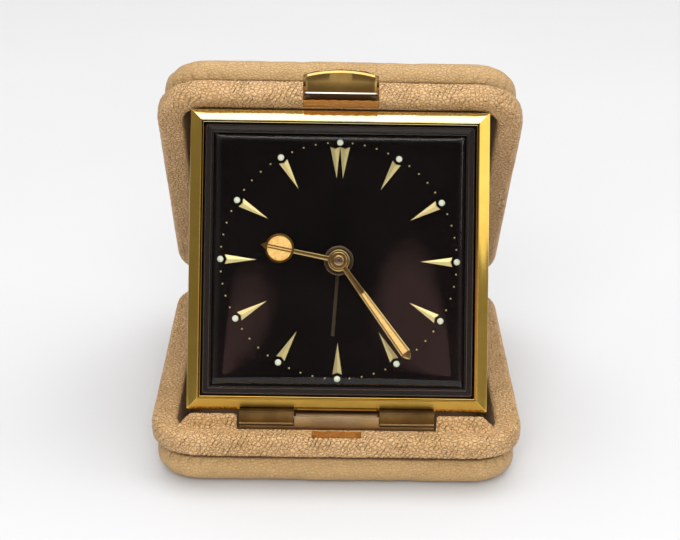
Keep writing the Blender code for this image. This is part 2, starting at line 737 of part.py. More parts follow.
def build_going_train():
    add_clock("centre_arbor", centre_arbor(), "steel", -3)
    add_clock("centre_wheel", centre_wheel(), "brass", -4)
    add_clock("going_barrel", spring_drum(BARREL_WHEEL, 9.7, 10.5, 32), "brass", -6, BARREL)
    add_clock("third_wheel", wheel_and_pinion(THIRD_PINION, THIRD_WHEEL), "brass", -5, THIRD)
    add_clock("fourth_wheel", wheel_and_pinion(FOURTH_PINION, FOURTH_WHEEL), "brass", -5, FOURTH)
    add_clock("escape_wheel", escape_wheel(), "steel", -5, ESCAPE)
    add_clock("pallet_lever", pallet_lever(), "steel", -5, PALLET)
    add_clock("balance_wheel", balance_wheel(), "brass", -4, BALANCE)
    hairspring = coil(BALANCE, 0.95, 4.2, 4, 0.12, -4.75, -4.45)
    add_clock("hairspring", hairspring, "steel", -4.6, BALANCE)
    add_clock("going_mainspring", mainspring(BARREL, 9.0, 5, 0.45), "steel", -5, BARREL)


# --------------------------------------------------------------- winding keys
KEY_WINGS = [  # (u, half width) along the two wings
    (-5.6, 0.9), (-4.9, 2.0), (-3.2, 2.2), (-1.0, 1.0), (1.0, 1.0), (3.2, 2.2), (4.9, 2.0),
    (5.6, 0.9)]


def winding_key(at):
    """Butterfly key: arbor through the rear plate, collar and two wings."""
    x, y = face(*at)
    collar = turned(at, [(0, -9.1), (1.9, -9.1), (1.9, -9.9), (1.5, -10.3), (0, -10.3)], 16)
    outline = [(x + u, y - half) for u, half in KEY_WINGS]
    outline += [(x + u, y + half) for u, half in reversed(KEY_WINGS)]
    return union(shaft(at, 1.2, -10.2, -4.6, 16), collar, sheet(outline, -10.5, -9.6))


def build_keys():
    add_clock("time_winding_key", winding_key(BARREL), "nickel", -9, BARREL)
    add_clock("alarm_winding_key", winding_key(ALARM_BARREL), "nickel", -9, ALARM_BARREL)


# ---------------------------------------------------------------- alarm train
def alarm_hammer():
    """Arbor with a long arm to the round head and a short tail."""
    u, v = HAMMER
    head = (u + 0.6, v + 12.0)
    return union(train_arbor(HAMMER, 0.5), bar(HAMMER, head, 0.4, -4.9, -4.3),
                 shaft(head, 1.5, -5.2, -4.0, 14),
                 bar(HAMMER, (u - 1.6, v - 4.2), 0.3, -4.85, -4.35))


def build_alarm_train():
    drum = spring_drum(ALARM_BARREL_WHEEL, 6.6, 7.3, 28)
    add_clock("alarm_barrel", drum, "brass", -6, ALARM_BARREL)
    spring = mainspring(ALARM_BARREL, 5.9, 3, 0.4)
    add_clock("alarm_mainspring", spring, "steel", -5, ALARM_BARREL)
    escape = wheel_and_pinion(ALARM_PINION, ALARM_ESCAPE_WHEEL)
    add_clock("alarm_escape_wheel", escape, "steel", -5, ALARM_ESCAPE)
    add_clock("alarm_hammer", alarm_hammer(), "steel", -5, HAMMER)


# ------------------------------------------------------ motion work and knobs
def build_motion_work():
    minute = union(cut_gear(MINUTE_WHEEL), cut_gear(MINUTE_PINION))
    add_clock("minute_wheel", minute, "brass", -1, MINUTE)
    hour = union(cut_gear(HOUR_WHEEL), tube(CENTRE, 0.68, 0.95, -1.25, 1.25, 16))
    add_clock("hour_wheel", hour, "brass", -1)
    alarm = union(cut_gear(ALARM_WHEEL), tube(CENTRE, 1.2, 1.48, -0.75, 0.95, 16))
    add_clock("alarm_wheel", alarm, "brass", -0.5)
    setter = union(shaft(ALARM_SET, 0.5, -9.9, -0.4), cut_gear(SET_PINION),
                   cut_gear(ALARM_SET_KNOB))
    add_clock("alarm_set_knob", setter, "nickel", -5, ALARM_SET)
    add_clock("hand_set_knob", cut_gear(HAND_SET_KNOB), "nickel", -10)


# ---------------------------------------------------------------------- hands
HOUR_AT, MINUTE_AT, ALARM_AT = -79.0, 143.4, 183.8    # degrees clockwise from twelve
HAND_THICK = 0.2
# right-hand edges (u, v) of the hands pointing to twelve, hub to tip
HOUR_EDGE = [(0.75, 0.5), (0.55, 11.0)]
HOUR_EDGE += [(3.6 * math.sin(math.radians(t)), 14.5 - 3.6 * math.cos(math.radians(t)))
              for t in range(15, 166, 15)]
HOUR_EDGE += [(0.5, 18.0)]
MINUTE_EDGE = [(0.9, 0.5), (1.75, 26.0), (1.1, 27.4)]
ALARM_EDGE = [(0.5, 0.5), (0.3, 16.5)]


def hand(edge, length, hub, bore, degrees, low):
    """Flat symmetrical hand on a round hub, turned clockwise from twelve."""
    left = [(-u, v) for u, v in reversed(edge)]
    a = math.radians(-degrees)
    outline = [face(u * math.cos(a) - v * math.sin(a), u * math.sin(a) + v * math.cos(a))
               for u, v in (left[-1], *edge, (0.0, length), *left[:-1])]
    high = low + HAND_THICK
    body = union(sheet(outline, low, high), sheet(circle(CENTRE, hub, 24), low, high))
    return cut(body, sheet(circle(CENTRE, bore, 16), low - 1, high + 1))


def build_hands():
    hour = hand(HOUR_EDGE, length=19.1, hub=2.6, bore=1.25, degrees=HOUR_AT, low=1.3)
    add_clock("hour_hand", hour, "gilt", 1.4)
    minute = hand(MINUTE_EDGE, length=28.7, hub=2.05, bore=0.7, degrees=MINUTE_AT, low=1.8)
    add_clock("minute_hand", minute, "gilt", 1.9)
    alarm = hand(ALARM_EDGE, length=18.3, hub=3.4, bore=1.78, degrees=ALARM_AT, low=0.75)
    add_clock("alarm_hand", alarm, "dark_bronze", 0.85)


# --------------------------------------------------------- on the rear cover
def build_rear_controls():
    u, v = BALANCE
    low, high = -9.5, -9.1
    lever = union(sheet(circle(BALANCE, 1.3, 16), low, high),
                  bar(BALANCE, (u - 0.1, v + 8.0), 0.45, low, high))
    add_clock("regulator_lever", lever, "steel", -9.3, BALANCE)
    slide = union(block(STOP, 3.0, 1.4, -9.4, -9.1), block(STOP, 0.8, 1.2, -10.3, -9.3))
    add_clock("alarm_stop_slide", slide, "nickel", -9.3, STOP)


build_lower_half()
build_upper_half()
build_lid_hinge()
build_clock_hinge()
build_latch()
build_shell()
build_plates()
build_going_train()
build_keys()
build_alarm_train()
build_motion_work()
build_hands()
build_rear_controls()
bpy.context.view_layer.update()
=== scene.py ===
# A folding travel alarm clock: a square clock hinged inside a padded leather case.
# Scene units are metres, +Z is up and the floor lies just under z = 0. X runs across the case,
# the latch is at the front (-Y) and the lid's hinge at the back (+Y).
# Parts are drawn in millimetres with the lid shut and the clock folded flat, its face up.
import json
import math
import bpy
import bmesh
import numpy as np
from mathutils import Vector, Matrix
from mathutils.geometry import tessellate_polygon
from mathutils.kdtree import KDTree


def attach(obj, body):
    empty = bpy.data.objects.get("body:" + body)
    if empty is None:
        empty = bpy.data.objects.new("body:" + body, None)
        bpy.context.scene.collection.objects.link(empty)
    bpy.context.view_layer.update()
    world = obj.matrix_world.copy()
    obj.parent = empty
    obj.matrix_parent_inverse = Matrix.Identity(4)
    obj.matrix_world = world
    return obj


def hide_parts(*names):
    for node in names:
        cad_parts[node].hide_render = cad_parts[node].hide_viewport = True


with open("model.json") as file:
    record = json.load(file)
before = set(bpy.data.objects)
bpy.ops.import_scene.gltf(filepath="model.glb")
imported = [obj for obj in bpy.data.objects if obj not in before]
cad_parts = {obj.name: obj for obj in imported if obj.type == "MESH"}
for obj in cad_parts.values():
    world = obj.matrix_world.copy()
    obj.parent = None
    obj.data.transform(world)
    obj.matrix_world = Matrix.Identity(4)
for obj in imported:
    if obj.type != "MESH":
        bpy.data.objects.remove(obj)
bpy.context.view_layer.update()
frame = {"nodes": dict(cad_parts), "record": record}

RECORD = frame["record"]
JOINT = {joint["name"]: joint for joint in RECORD["behaviour"]["joints"]}
MM = 0.001
SCENE = bpy.context.scene

# ------------------------------------------------------------------ placement
LID_HINGE = [c / MM for c in JOINT["lid_open"]["pos_m"]]
CLOCK_HINGE = [c / MM for c in JOINT["clock_fold"]["pos_m"]]
LID_TURN = JOINT["lid_open"]["range_deg"][0]
CLOCK_TURN = JOINT["clock_fold"]["range_deg"][1]


def turned(hinge, degrees):
    """Turn about the X axis through a hinge, then scale to metres."""
    turn = (Matrix.Translation((0, hinge[1], hinge[2]))
            @ Matrix.Rotation(math.radians(degrees), 4, "X")
            @ Matrix.Translation((0, -hinge[1], -hinge[2])))
    return np.array(Matrix.Scale(MM, 4) @ turn)


# From the drawing to where each moving body stands in the scene.
TO_SCENE = {"base": turned(LID_HINGE, 0), "lid": turned(LID_HINGE, LID_TURN),
            "clock": turned(CLOCK_HINGE, CLOCK_TURN)}
TO_SCENE["base"] = np.array(Matrix.Scale(MM, 4))
TO_SCENE["latch"] = TO_SCENE["lid"]
for rider in ("hour_sleeve", "minute_arbor", "alarm_sleeve", "alarm_setter", "time_key",
              "alarm_key"):
    TO_SCENE[rider] = TO_SCENE["clock"]


def joint_in_drawing(joint):
    """A clock joint's place in the drawing, in millimetres."""
    point = np.array([*JOINT[joint]["pos_m"], 1.0])
    return (np.linalg.inv(TO_SCENE["clock"]) @ point)[:3].tolist()


# The face's middle: FACE_Y is the arbor's place, FACE_Z the underside of the dial plate.
_, FACE_Y, FACE_Z = joint_in_drawing("minute_spin")
FACE = (0.0, FACE_Y, FACE_Z)

# ------------------------------------------------------------------ noise
_random = np.random.RandomState(11)
_LATTICE = _random.rand(32, 32, 32)
_random.rand(32, 32, 32, 3)  # second draw from this seed; nothing reads it


def noise_at(points, size, offset=0.0):
    """Smooth lattice noise from -1 to 1, with cells of the given size."""
    q = points / size + offset
    i = np.floor(q).astype(int)
    f = q - i
    f = f * f * (3 - 2 * f)
    out = 0.0
    for dx in (0, 1):
        for dy in (0, 1):
            for dz in (0, 1):
                weight = ((f[:, 0] if dx else 1 - f[:, 0]) * (f[:, 1] if dy else 1 - f[:, 1])
                          * (f[:, 2] if dz else 1 - f[:, 2]))
                corner = _LATTICE[(i[:, 0] + dx) % 32, (i[:, 1] + dy) % 32, (i[:, 2] + dz) % 32]
                out = out + weight * corner
    return out * 2 - 1


def patches(points, size, offset, bias, gain):
    """Noise turned into a 0 to 1 mask."""
    return np.clip(bias + gain * noise_at(points, size, offset), 0, 1)


def line_depth(phase, width):
    """Bell-shaped groove wherever the phase passes a whole number."""
    return np.exp(-(np.abs(phase - np.round(phase)) * 1.5 / width) ** 2)


# ------------------------------------------------------------------ shapes: (vertices, faces)
def merge(*shapes):
    verts, faces, count = [], [], 0
    for v, f in shapes:
        v = np.asarray(v, float)
        verts.append(v)
        faces += [tuple(i + count for i in face) for face in f]
        count += len(v)
    return np.vstack(verts), faces


def moved(shape, offset):
    return shape[0] + np.array(offset), shape[1]


def on_face(shape, clockwise):
    """Turn a hand, drawn pointing at twelve about the arbor, and set it over the dial."""
    v, faces = shape
    a = math.radians(-clockwise)
    x = v[:, 0] * math.cos(a) - v[:, 1] * math.sin(a)
    y = FACE_Y + v[:, 0] * math.sin(a) + v[:, 1] * math.cos(a)
    return np.stack([x, y, FACE_Z + v[:, 2]], 1), faces


def prism(outer, z0, z1, holes=()):
    loops = [list(outer)] + [list(h) for h in holes]
    flat = [p for loop in loops for p in loop]
    n = len(flat)
    verts = [(p[0], p[1], z0) for p in flat] + [(p[0], p[1], z1) for p in flat]
    if holes:
        tris = tessellate_polygon([[Vector((p[0], p[1], 0)) for p in loop] for loop in loops])
        faces = [(a, b, c) for a, b, c in tris] + [(c + n, b + n, a + n) for a, b, c in tris]
    else:
        faces = [tuple(range(n)), tuple(range(2 * n - 1, n - 1, -1))]
    start = 0
    for loop in loops:
        k = len(loop)
        for i in range(k):
            j = (i + 1) % k
            faces.append((start + i, start + j, start + j + n, start + i + n))
        start += k
    return np.array(verts, float), faces


def loft(rings, closed=False):
    """Skin over rings of equal length; an open loft is capped at both ends."""
    n, m = len(rings[0]), len(rings)
    verts = np.vstack([np.asarray(r, float) for r in rings])
    faces = []
    for k in range(m if closed else m - 1):
        a, b = k * n, ((k + 1) % m) * n
        for i in range(n):
            j = (i + 1) % n
            faces.append((a + i, a + j, b + j, b + i))
    if not closed:
        faces.append(tuple(range(n)))
        faces.append(tuple(range(m * n - 1, (m - 1) * n - 1, -1)))
    return verts, faces


def lathe(profile, n):
    """(radius, z) profile turned about Z: a solid if both ends are on the axis, else a ring."""
    a = np.linspace(0, 2 * math.pi, n, endpoint=False)
    rings = []
    for r, z in profile:
        r = max(r, 1e-4)
        rings.append(np.stack([r * np.cos(a), r * np.sin(a), np.full(n, z)], 1))
    return loft(rings, closed=profile[0][0] > 0 or profile[-1][0] > 0)


def sheet(first, second, rows, cols):
    """Two matching point grids, joined round the edge."""
    m = rows * cols
    faces = []
    for i in range(rows - 1):
        for j in range(cols - 1):
            q = i * cols + j
            faces.append((q, q + 1, q + cols + 1, q + cols))
            faces.append((m + q, m + q + cols, m + q + cols + 1, m + q + 1))
    edge = (list(range(cols)) + [i * cols + cols - 1 for i in range(1, rows)]
            + [m - 1 - j for j in range(1, cols)]
            + [(rows - 1 - i) * cols for i in range(1, rows - 1)])
    for a, b in zip(edge, edge[1:] + edge[:1]):
        faces.append((a, b, m + b, m + a))
    return np.vstack([first, second]), faces


def squircle(half_x, half_y, radius, z, mid_y=0.0, straight=1, corner=8):
    """Rounded rectangle; straight and corner are the segments in each side and corner."""
    r = max(min(radius, half_x - 0.1, half_y - 0.1), 0.02)
    ring = []
    corners = ((1, 1, 0), (-1, 1, 90), (-1, -1, 180), (1, -1, 270))
    for i, (sx, sy, start) in enumerate(corners):
        for k in range(corner + 1):
            a = math.radians(start + 90.0 * k / corner)
            ring.append((sx * (half_x - r) + r * math.cos(a),
                         mid_y + sy * (half_y - r) + r * math.sin(a), z))
        sx, sy, start = corners[(i + 1) % 4]
        a = math.radians(start)
        x1 = sx * (half_x - r) + r * math.cos(a)
        y1 = mid_y + sy * (half_y - r) + r * math.sin(a)
        x0, y0, _ = ring[-1]
        for k in range(1, straight):
            t = k / straight
            ring.append((x0 + (x1 - x0) * t, y0 + (y1 - y0) * t, z))
    return ring


def slab_x(outline, x0, x1):
    """(y, z) outline drawn out along X."""
    v, f = prism(outline, x0, x1)
    return np.stack([v[:, 2], v[:, 0], v[:, 1]], 1), f


def slab_y(outline, y0, y1, holes=()):
    """(x, z) outline drawn out along Y."""
    v, f = prism(outline, y0, y1, holes)
    return np.stack([v[:, 0], v[:, 2], v[:, 1]], 1), f


def rod_x(y, z, r, x0, x1, edge=0.12):
    v, f = lathe([(0, x0), (r - edge, x0), (r, x0 + edge), (r, x1 - edge), (r - edge, x1),
                  (0, x1)], 32)
    return np.stack([v[:, 2], y + v[:, 0], z + v[:, 1]], 1), f


def swept_x(half, steps, section):
    """Loft of section(x), a list of (y, z), from -half to half."""
    rings = []
    for i in range(steps + 1):
        x = -half + 2 * half * i / steps
        rings.append([(x, y, z) for y, z in section(x)])
    return loft(rings)


def circle(u, v, r, n):
    angles = [2 * math.pi * k / n for k in range(n)]
    return [(u + r * math.cos(a), v + r * math.sin(a)) for a in angles]


def rect(x0, x1, y0, y1):
    return [(x0, y0), (x1, y0), (x1, y1), (x0, y1)]


def rect_hole(*sides):
    """The same corners, taken the other way round."""
    first, *rest = rect(*sides)
    return [first, *reversed(rest)]


def resampled(path, step):
    """Points about one step apart along a path, without its last point."""
    out = []
    for a, b in zip(path, path[1:]):
        k = max(1, int(round(math.dist(a, b) / step)))
        for i in range(k):
            t = i / k
            out.append((a[0] + (b[0] - a[0]) * t, a[1] + (b[1] - a[1]) * t))
    return out


def quad_normals(verts, faces):
    """Vertex normals gathered from the four-sided faces."""
    normals = np.zeros_like(verts)
    quads = np.array([face for face in faces if len(face) == 4])
    a, b, c, d = (verts[quads[:, i]] for i in range(4))
    face_normals = np.cross(c - a, d - b)
    for i in range(4):
        np.add.at(normals, quads[:, i], face_normals)
    length = np.linalg.norm(normals, axis=1)
    length[length == 0] = 1
    return normals / length[:, None]


# ------------------------------------------------------------------ objects
def raw_object(name, verts, faces):
    mesh = bpy.data.meshes.new(name)
    mesh.from_pydata(np.asarray(verts, float).tolist(), [], faces)
    bm = bmesh.new()
    bm.from_mesh(mesh)
    bmesh.ops.recalc_face_normals(bm, faces=bm.faces[:])
    bm.to_mesh(mesh)
    bm.free()
    ob = bpy.data.objects.new(name, mesh)
    SCENE.collection.objects.link(ob)
    return ob


def shape_of(ob):
    v = np.empty(len(ob.data.vertices) * 3)
    ob.data.vertices.foreach_get("co", v)
    return v.reshape(-1, 3), [tuple(p.vertices) for p in ob.data.polygons]


def apply_modifiers(ob):
    deps = bpy.context.evaluated_depsgraph_get()
    mesh = bpy.data.meshes.new_from_object(ob.evaluated_get(deps))
    ob.modifiers.clear()
    ob.data = mesh


def set_face_mats(ob, numbers):
    ob.data.polygons.foreach_set("material_index", np.asarray(numbers, np.int32))


def carve(shape, tools, mats=(), face_mats=None):
    """Cut tool shapes out of a shape; cut faces take the last material.

    Returns the shape and its faces' material numbers.
    """
    ob, *cutters = [raw_object("carved", *part) for part in (shape, *tools)]
    if mats:
        for part in (ob, *cutters):
            for mat in mats:
                part.data.materials.append(mat)
            set_face_mats(part, np.full(len(part.data.polygons), len(mats) - 1))
        set_face_mats(ob, face_mats)
    for cutter in cutters:
        cut = ob.modifiers.new("cut", "BOOLEAN")
        cut.operation = "DIFFERENCE"
        cut.solver = "EXACT"
        cut.object = cutter
    apply_modifiers(ob)
    result = shape_of(ob)
    numbers = np.empty(len(ob.data.polygons), np.int32)
    ob.data.polygons.foreach_get("material_index", numbers)
    for part in (ob, *cutters):
        bpy.data.objects.remove(part, do_unlink=True)
    return result, numbers


def add_bevel(ob, width, angle):
    bevel = ob.modifiers.new("edge", "BEVEL")
    bevel.width = width * MM
    bevel.segments = 2
    bevel.limit_method = "ANGLE"
    bevel.angle_limit = math.radians(angle)


def make(name, shape, body, mats, replaces=(), sharp=32.0, face_mats=None, bevel=0.0,
         marks=None):
    """A finished part riding on a body; marks are per-vertex values for its material."""
    verts = np.asarray(shape[0], float)
    place = TO_SCENE[body]
    ob = raw_object(name, verts @ place[:3, :3].T + place[:3, 3], shape[1])
    mesh = ob.data
    mesh.shade_smooth()
    if sharp:
        mesh.set_sharp_from_angle(angle=math.radians(sharp))
    for key, values in (marks or {}).items():
        attribute = mesh.attributes.new(key, "FLOAT", "POINT")
        attribute.data.foreach_set("value", np.asarray(values, np.float32))
    for mat in (mats if isinstance(mats, list) else [mats]):
        mesh.materials.append(mat)
    if face_mats is not None:
        set_face_mats(ob, face_mats)
    if bevel:
        add_bevel(ob, bevel, 35)
    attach(ob, body)
    if replaces:
        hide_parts(*replaces)


# ------------------------------------------------------------------ node trees
BLACK, WHITE = (0, 0, 0), (1, 1, 1)


class Nodes:
    """One node tree, with short ways to add and join nodes."""

    def __init__(self, tree):
        self.tree = tree

    def put(self, socket, value):
        """Link another socket, or set a number, vector or RGB colour."""
        if isinstance(value, bpy.types.NodeSocket):
            self.tree.links.new(value, socket)
        elif socket.type == "RGBA":
            socket.default_value = (*value, 1.0)
        else:
            socket.default_value = value

    def node(self, kind, inputs=None, **settings):
        node = self.tree.nodes.new(kind)
        for key, value in settings.items():
            setattr(node, key, value)
        for key, value in (inputs or {}).items():
            self.put(node.inputs[key], value)
        return node

    def maths(self, operation, *values, clamp=False):
        return self.node("ShaderNodeMath", dict(enumerate(values)), operation=operation,
                         use_clamp=clamp).outputs[0]

    def mix(self, factor, a, b, kind="MIX"):
        # sockets 0, 6, 7 and output 2 are the factor and colours of a colour mix
        return self.node("ShaderNodeMix", {0: factor, 6: a, 7: b}, data_type="RGBA",
                         blend_type=kind).outputs[2]

    def ramp(self, factor, *stops):
        """Colour ramp; each stop is (position, colour)."""
        node = self.node("ShaderNodeValToRGB", {"Fac": factor})
        elements = node.color_ramp.elements
        while len(elements) < len(stops):
            elements.new(0.5)
        for element, (position, colour) in zip(elements, stops):
            element.position = position
            element.color = (*colour, 1.0)
        return node.outputs["Color"]


class Material(Nodes):
    """A material whose textures run in object space, in millimetres."""

    def __init__(self, name):
        self.mat = bpy.data.materials.new(name)
        self.mat.use_nodes = True
        super().__init__(self.mat.node_tree)
        self.shader = self.tree.nodes["Principled BSDF"]
        coords = self.node("ShaderNodeTexCoord").outputs["Object"]
        self.coords = self.mapped(coords, scale=(1000.0, 1000.0, 1000.0))

    def set(self, **inputs):
        for key, value in inputs.items():
            self.put(self.shader.inputs[key.replace("_", " ")], value)

    def mapped(self, vector, scale, turn=(0, 0, 0)):
        return self.node("ShaderNodeMapping", {"Scale": scale, "Rotation": turn,
                                               "Vector": vector}).outputs["Vector"]

    def noise(self, scale, detail=3.0, rough=0.55, vector=None, distortion=0.0):
        return self.node("ShaderNodeTexNoise", {
            "Scale": scale, "Detail": detail, "Roughness": rough, "Distortion": distortion,
            "Vector": vector or self.coords}).outputs["Fac"]

    def cell_edges(self, scale, vector):
        return self.node("ShaderNodeTexVoronoi", {"Scale": scale, "Vector": vector},
                         feature="DISTANCE_TO_EDGE").outputs["Distance"]

    def spread(self, value, low, high, top=1.0, kind="LINEAR"):
        """Map 0..top to low..high."""
        return self.node("ShaderNodeMapRange", {
            "Value": value, "From Max": top, "To Min": low, "To Max": high},
            interpolation_type=kind).outputs["Result"]

    def bump(self, height, strength, depth, over=None):
        """Relief of a depth in millimetres, on top of another relief if given."""
        inputs = {"Strength": strength, "Distance": depth * MM, "Height": height}
        if over is not None:
            inputs["Normal"] = over
        return self.node("ShaderNodeBump", inputs).outputs["Normal"]


# ------------------------------------------------------------------ materials
def leather(name, light, mid, dark, cells, edge, edge_width, edge_mix, pebble_depth):
    """Tanned hide: pebbles and pores, with drawn creases placed by the mesh's attributes.

    cells is pebbles per millimetre, edge the colour of the gaps between them, dark the painted
    shade colour of the crease lines.
    """
    k = Material(name)
    broad = k.noise(scale=0.07, detail=3, rough=0.6)
    mottle = k.noise(scale=0.55, detail=4, rough=0.65)
    base = k.ramp(broad, (0.30, mid), (0.70, light))
    blotches = k.ramp(mottle, (0.35, (0.72, 0.62, 0.50)), (0.65, WHITE))
    base = k.mix(0.16, base, blotches, "MULTIPLY")
    warped = k.mapped(k.coords, scale=(0.95, 1.35, 1.15), turn=(0.6, 0.5, 0.7))
    cell = k.cell_edges(cells, warped)
    small = k.cell_edges(cells * 2.3, warped)

    def mark(attribute):
        return k.node("ShaderNodeAttribute", attribute_name=attribute).outputs["Fac"]

    centred = k.maths("SUBTRACT", k.noise(scale=1.5, detail=3, rough=0.6), 0.5)
    wobble = k.maths("MULTIPLY", centred, 0.42)

    def crease_lines(phase, strength, width):
        """A line at each whole phase; 200.5 keeps the sum positive and centres the line."""
        q = k.maths("ADD", k.maths("ADD", mark(phase), wobble), 200.5)
        q = k.maths("SUBTRACT", k.maths("FRACT", q), 0.5)
        line = k.spread(k.maths("ABSOLUTE", q), low=1.0, high=0.0, top=width, kind="SMOOTHSTEP")
        return k.maths("MULTIPLY", line, mark(strength))

    drawn = k.maths("MAXIMUM", crease_lines("ph1", "on1", width=0.11),
                    crease_lines("ph2", "on2", width=0.10))
    seam_and_fold_shade = k.maths("MINIMUM", mark("crease"), 1.0)
    colour = k.mix(edge_mix, base, k.ramp(cell, (0.0, edge), (edge_width, WHITE)), "MULTIPLY")
    # painted shade: the crease lines are darkened towards dark, over the grooves that the bump
    # below cuts
    colour = k.mix(k.maths("MULTIPLY", drawn, 0.40), colour, dark)
    # painted shade: near-black brown where the crease attribute marks the seams and the pad's
    # folds
    colour = k.mix(k.maths("MULTIPLY", seam_and_fold_shade, 0.80), colour, (0.085, 0.035, 0.012))
    # pebbles stand proud between the gaps
    pebbles = k.ramp(cell, (0.0, BLACK), (0.16, (0.75, 0.75, 0.75)), (0.5, WHITE))
    relief = k.bump(pebbles, strength=1.0, depth=pebble_depth)
    pores = k.ramp(small, (0.0, BLACK), (0.2, WHITE))
    relief = k.bump(pores, strength=0.6, depth=0.07, over=relief)
    fine = k.noise(scale=3.6, detail=4, rough=0.65)
    relief = k.bump(fine, strength=0.5, depth=0.08, over=relief)
    relief = k.bump(k.maths("SUBTRACT", 1.0, drawn), strength=1.0, depth=0.22, over=relief)
    k.set(Base_Color=colour, Roughness=k.spread(mottle, low=0.36, high=0.54),
          Specular_IOR_Level=0.5, Normal=relief)
    return k.mat


def metal(name, colour, rough, scratch, bump, brushed=None, tint=None, spots=0.0, metallic=1.0):
    """Worn metal: tint is its darker colour, brushed the stretch of its scratches."""
    k = Material(name)
    tint = tint or tuple(c * 0.86 for c in colour)
    tone = k.ramp(k.noise(scale=0.12, detail=3, rough=0.6), (0.3, tint), (0.7, colour))
    if spots:
        specks = k.ramp(k.noise(scale=1.1, detail=4, rough=0.7),
                        (0.62, WHITE), (0.74, (0.45, 0.36, 0.26)))
        tone = k.mix(spots, tone, specks, "MULTIPLY")
    if brushed:
        vector = k.mapped(k.coords, scale=brushed)
    else:
        vector = k.mapped(k.coords, scale=(0.25, 2.5, 2.5), turn=(0.3, 0.2, 0.6))
    lines = k.noise(scale=4.0, detail=3, rough=0.6, vector=vector)
    k.set(Metallic=metallic, Base_Color=tone,
          Roughness=k.spread(lines, low=rough, high=rough + scratch),
          Normal=k.bump(lines, strength=0.35, depth=bump))
    return k.mat


POLISHED = dict(rough=0.07, scratch=0.07, bump=0.004)
GILT = metal("gilt_polished", colour=(0.86, 0.61, 0.165), tint=(0.77, 0.52, 0.12), **POLISHED)
GILT_BEZEL = metal("gilt_bezel", colour=(0.77, 0.50, 0.105), tint=(0.68, 0.42, 0.075), **POLISHED)
# painted highlight: a paler copy of the bezel gilt for the side facing the light
GILT_BEZEL_HIGHLIGHT = metal("gilt_bezel_painted_highlight", colour=(0.95, 0.80, 0.38), tint=(0.90, 0.72, 0.30),
                 **POLISHED)
GILT_LOW = metal("gilt_bezel_rubbed", colour=(0.72, 0.465, 0.10), tint=(0.60, 0.37, 0.065),
                 rough=0.26, scratch=0.26, brushed=(1.6, 1.1, 1.6), bump=0.03)
GILT_HAND = metal("gilt_hands", colour=(0.80, 0.56, 0.22), rough=0.22, scratch=0.15, bump=0.01)
GILT_OLD = metal("gilt_toned", colour=(0.36, 0.215, 0.06), rough=0.26, scratch=0.15, bump=0.01,
                 spots=0.4)
COPPER = metal("arbor_cap_copper", colour=(0.62, 0.40, 0.30), rough=0.25, scratch=0.15,
               bump=0.01)
GILT_DART = metal("gilt_darts", colour=(0.96, 0.78, 0.36), rough=0.30, scratch=0.12, bump=0.006,
                  metallic=0.72)
LATCH = metal("latch_brass", colour=(0.82, 0.57, 0.20), tint=(0.58, 0.36, 0.10), rough=0.30,
              scratch=0.16, bump=0.012, spots=0.9)
# painted shade: the plate's face is coloured dark brown for the shade under the lid's rim; the
# specks are wear
PLATE_SHADED = metal("latch_plate_worn_and_shaded", colour=(0.24, 0.155, 0.070), tint=(0.17, 0.105, 0.045),
              rough=0.26, scratch=0.14, brushed=(0.05, 3.0, 3.0), bump=0.006, spots=0.7)
NICKEL = metal("nickel_worn", colour=(0.66, 0.60, 0.52), rough=0.16, scratch=0.14,
               brushed=(0.05, 3.0, 3.0), bump=0.006, spots=0.35)
NICKEL_BACK = metal("nickel_back", colour=(0.47, 0.44, 0.39), rough=0.28, scratch=0.14,
                    brushed=(0.08, 2.2, 2.2), bump=0.01)
BRASS = metal("brass_plate", colour=(0.78, 0.58, 0.27), rough=0.26, scratch=0.16,
              brushed=(0.06, 2.5, 2.5), bump=0.01, spots=0.3)
STEEL = metal("steel_ground", colour=(0.50, 0.50, 0.52), rough=0.24, scratch=0.16, bump=0.008)
HINGE = metal("hinge_brass_worn", colour=(0.66, 0.49, 0.28), tint=(0.50, 0.36, 0.19), rough=0.38,
              scratch=0.18, brushed=(0.05, 3.0, 3.0), bump=0.006, spots=0.5)
TAB = metal("hinge_tab_bronze", colour=(0.300, 0.190, 0.070), tint=(0.13, 0.075, 0.027),
            rough=0.40, scratch=0.18, brushed=(3.0, 0.3, 3.0), bump=0.008, spots=0.5)
BRONZE = metal("bronze_dark", colour=(0.33, 0.26, 0.18), tint=(0.22, 0.17, 0.12), rough=0.30,
               scratch=0.18, bump=0.01)
TAN_PAD = leather("leather_pad", light=(0.600, 0.385, 0.172), mid=(0.540, 0.335, 0.138),
                  dark=(0.22, 0.10, 0.03), cells=1.12, edge=(0.50, 0.42, 0.33),
                  edge_width=0.075, edge_mix=0.36, pebble_depth=0.16)
TAN_RIM = leather("leather_rim", light=(0.715, 0.450, 0.212), mid=(0.645, 0.390, 0.168),
                  dark=(0.30, 0.13, 0.045), cells=1.02, edge=(0.40, 0.28, 0.17),
                  edge_width=0.10, edge_mix=0.56, pebble_depth=0.28)


def raw_hide():
    k = Material("leather_cut_edge")
    fibres = k.noise(scale=1.4, detail=6, rough=0.7,
                     vector=k.mapped(k.coords, scale=(0.6, 2.0, 2.0)))
    k.set(Base_Color=k.ramp(fibres, (0.3, (0.27, 0.095, 0.015)), (0.7, (0.66, 0.285, 0.055))),
          Roughness=k.spread(fibres, low=0.6, high=0.9),
          Normal=k.bump(fibres, strength=0.9, depth=0.28))
    return k.mat


def velour():
    k = Material("velour_lining")
    nap = k.noise(scale=2.2, detail=5, rough=0.7)
    fine = k.bump(k.noise(scale=9.0, detail=2, rough=0.5), strength=0.5, depth=0.06)
    k.set(Base_Color=k.ramp(nap, (0.3, (0.085, 0.043, 0.018)), (0.7, (0.17, 0.09, 0.042))),
          Roughness=0.95, Sheen_Weight=0.45, Sheen_Roughness=0.4, Sheen_Tint=(0.80, 0.55, 0.35),
          Normal=k.bump(nap, strength=0.4, depth=0.15, over=fine))
    return k.mat


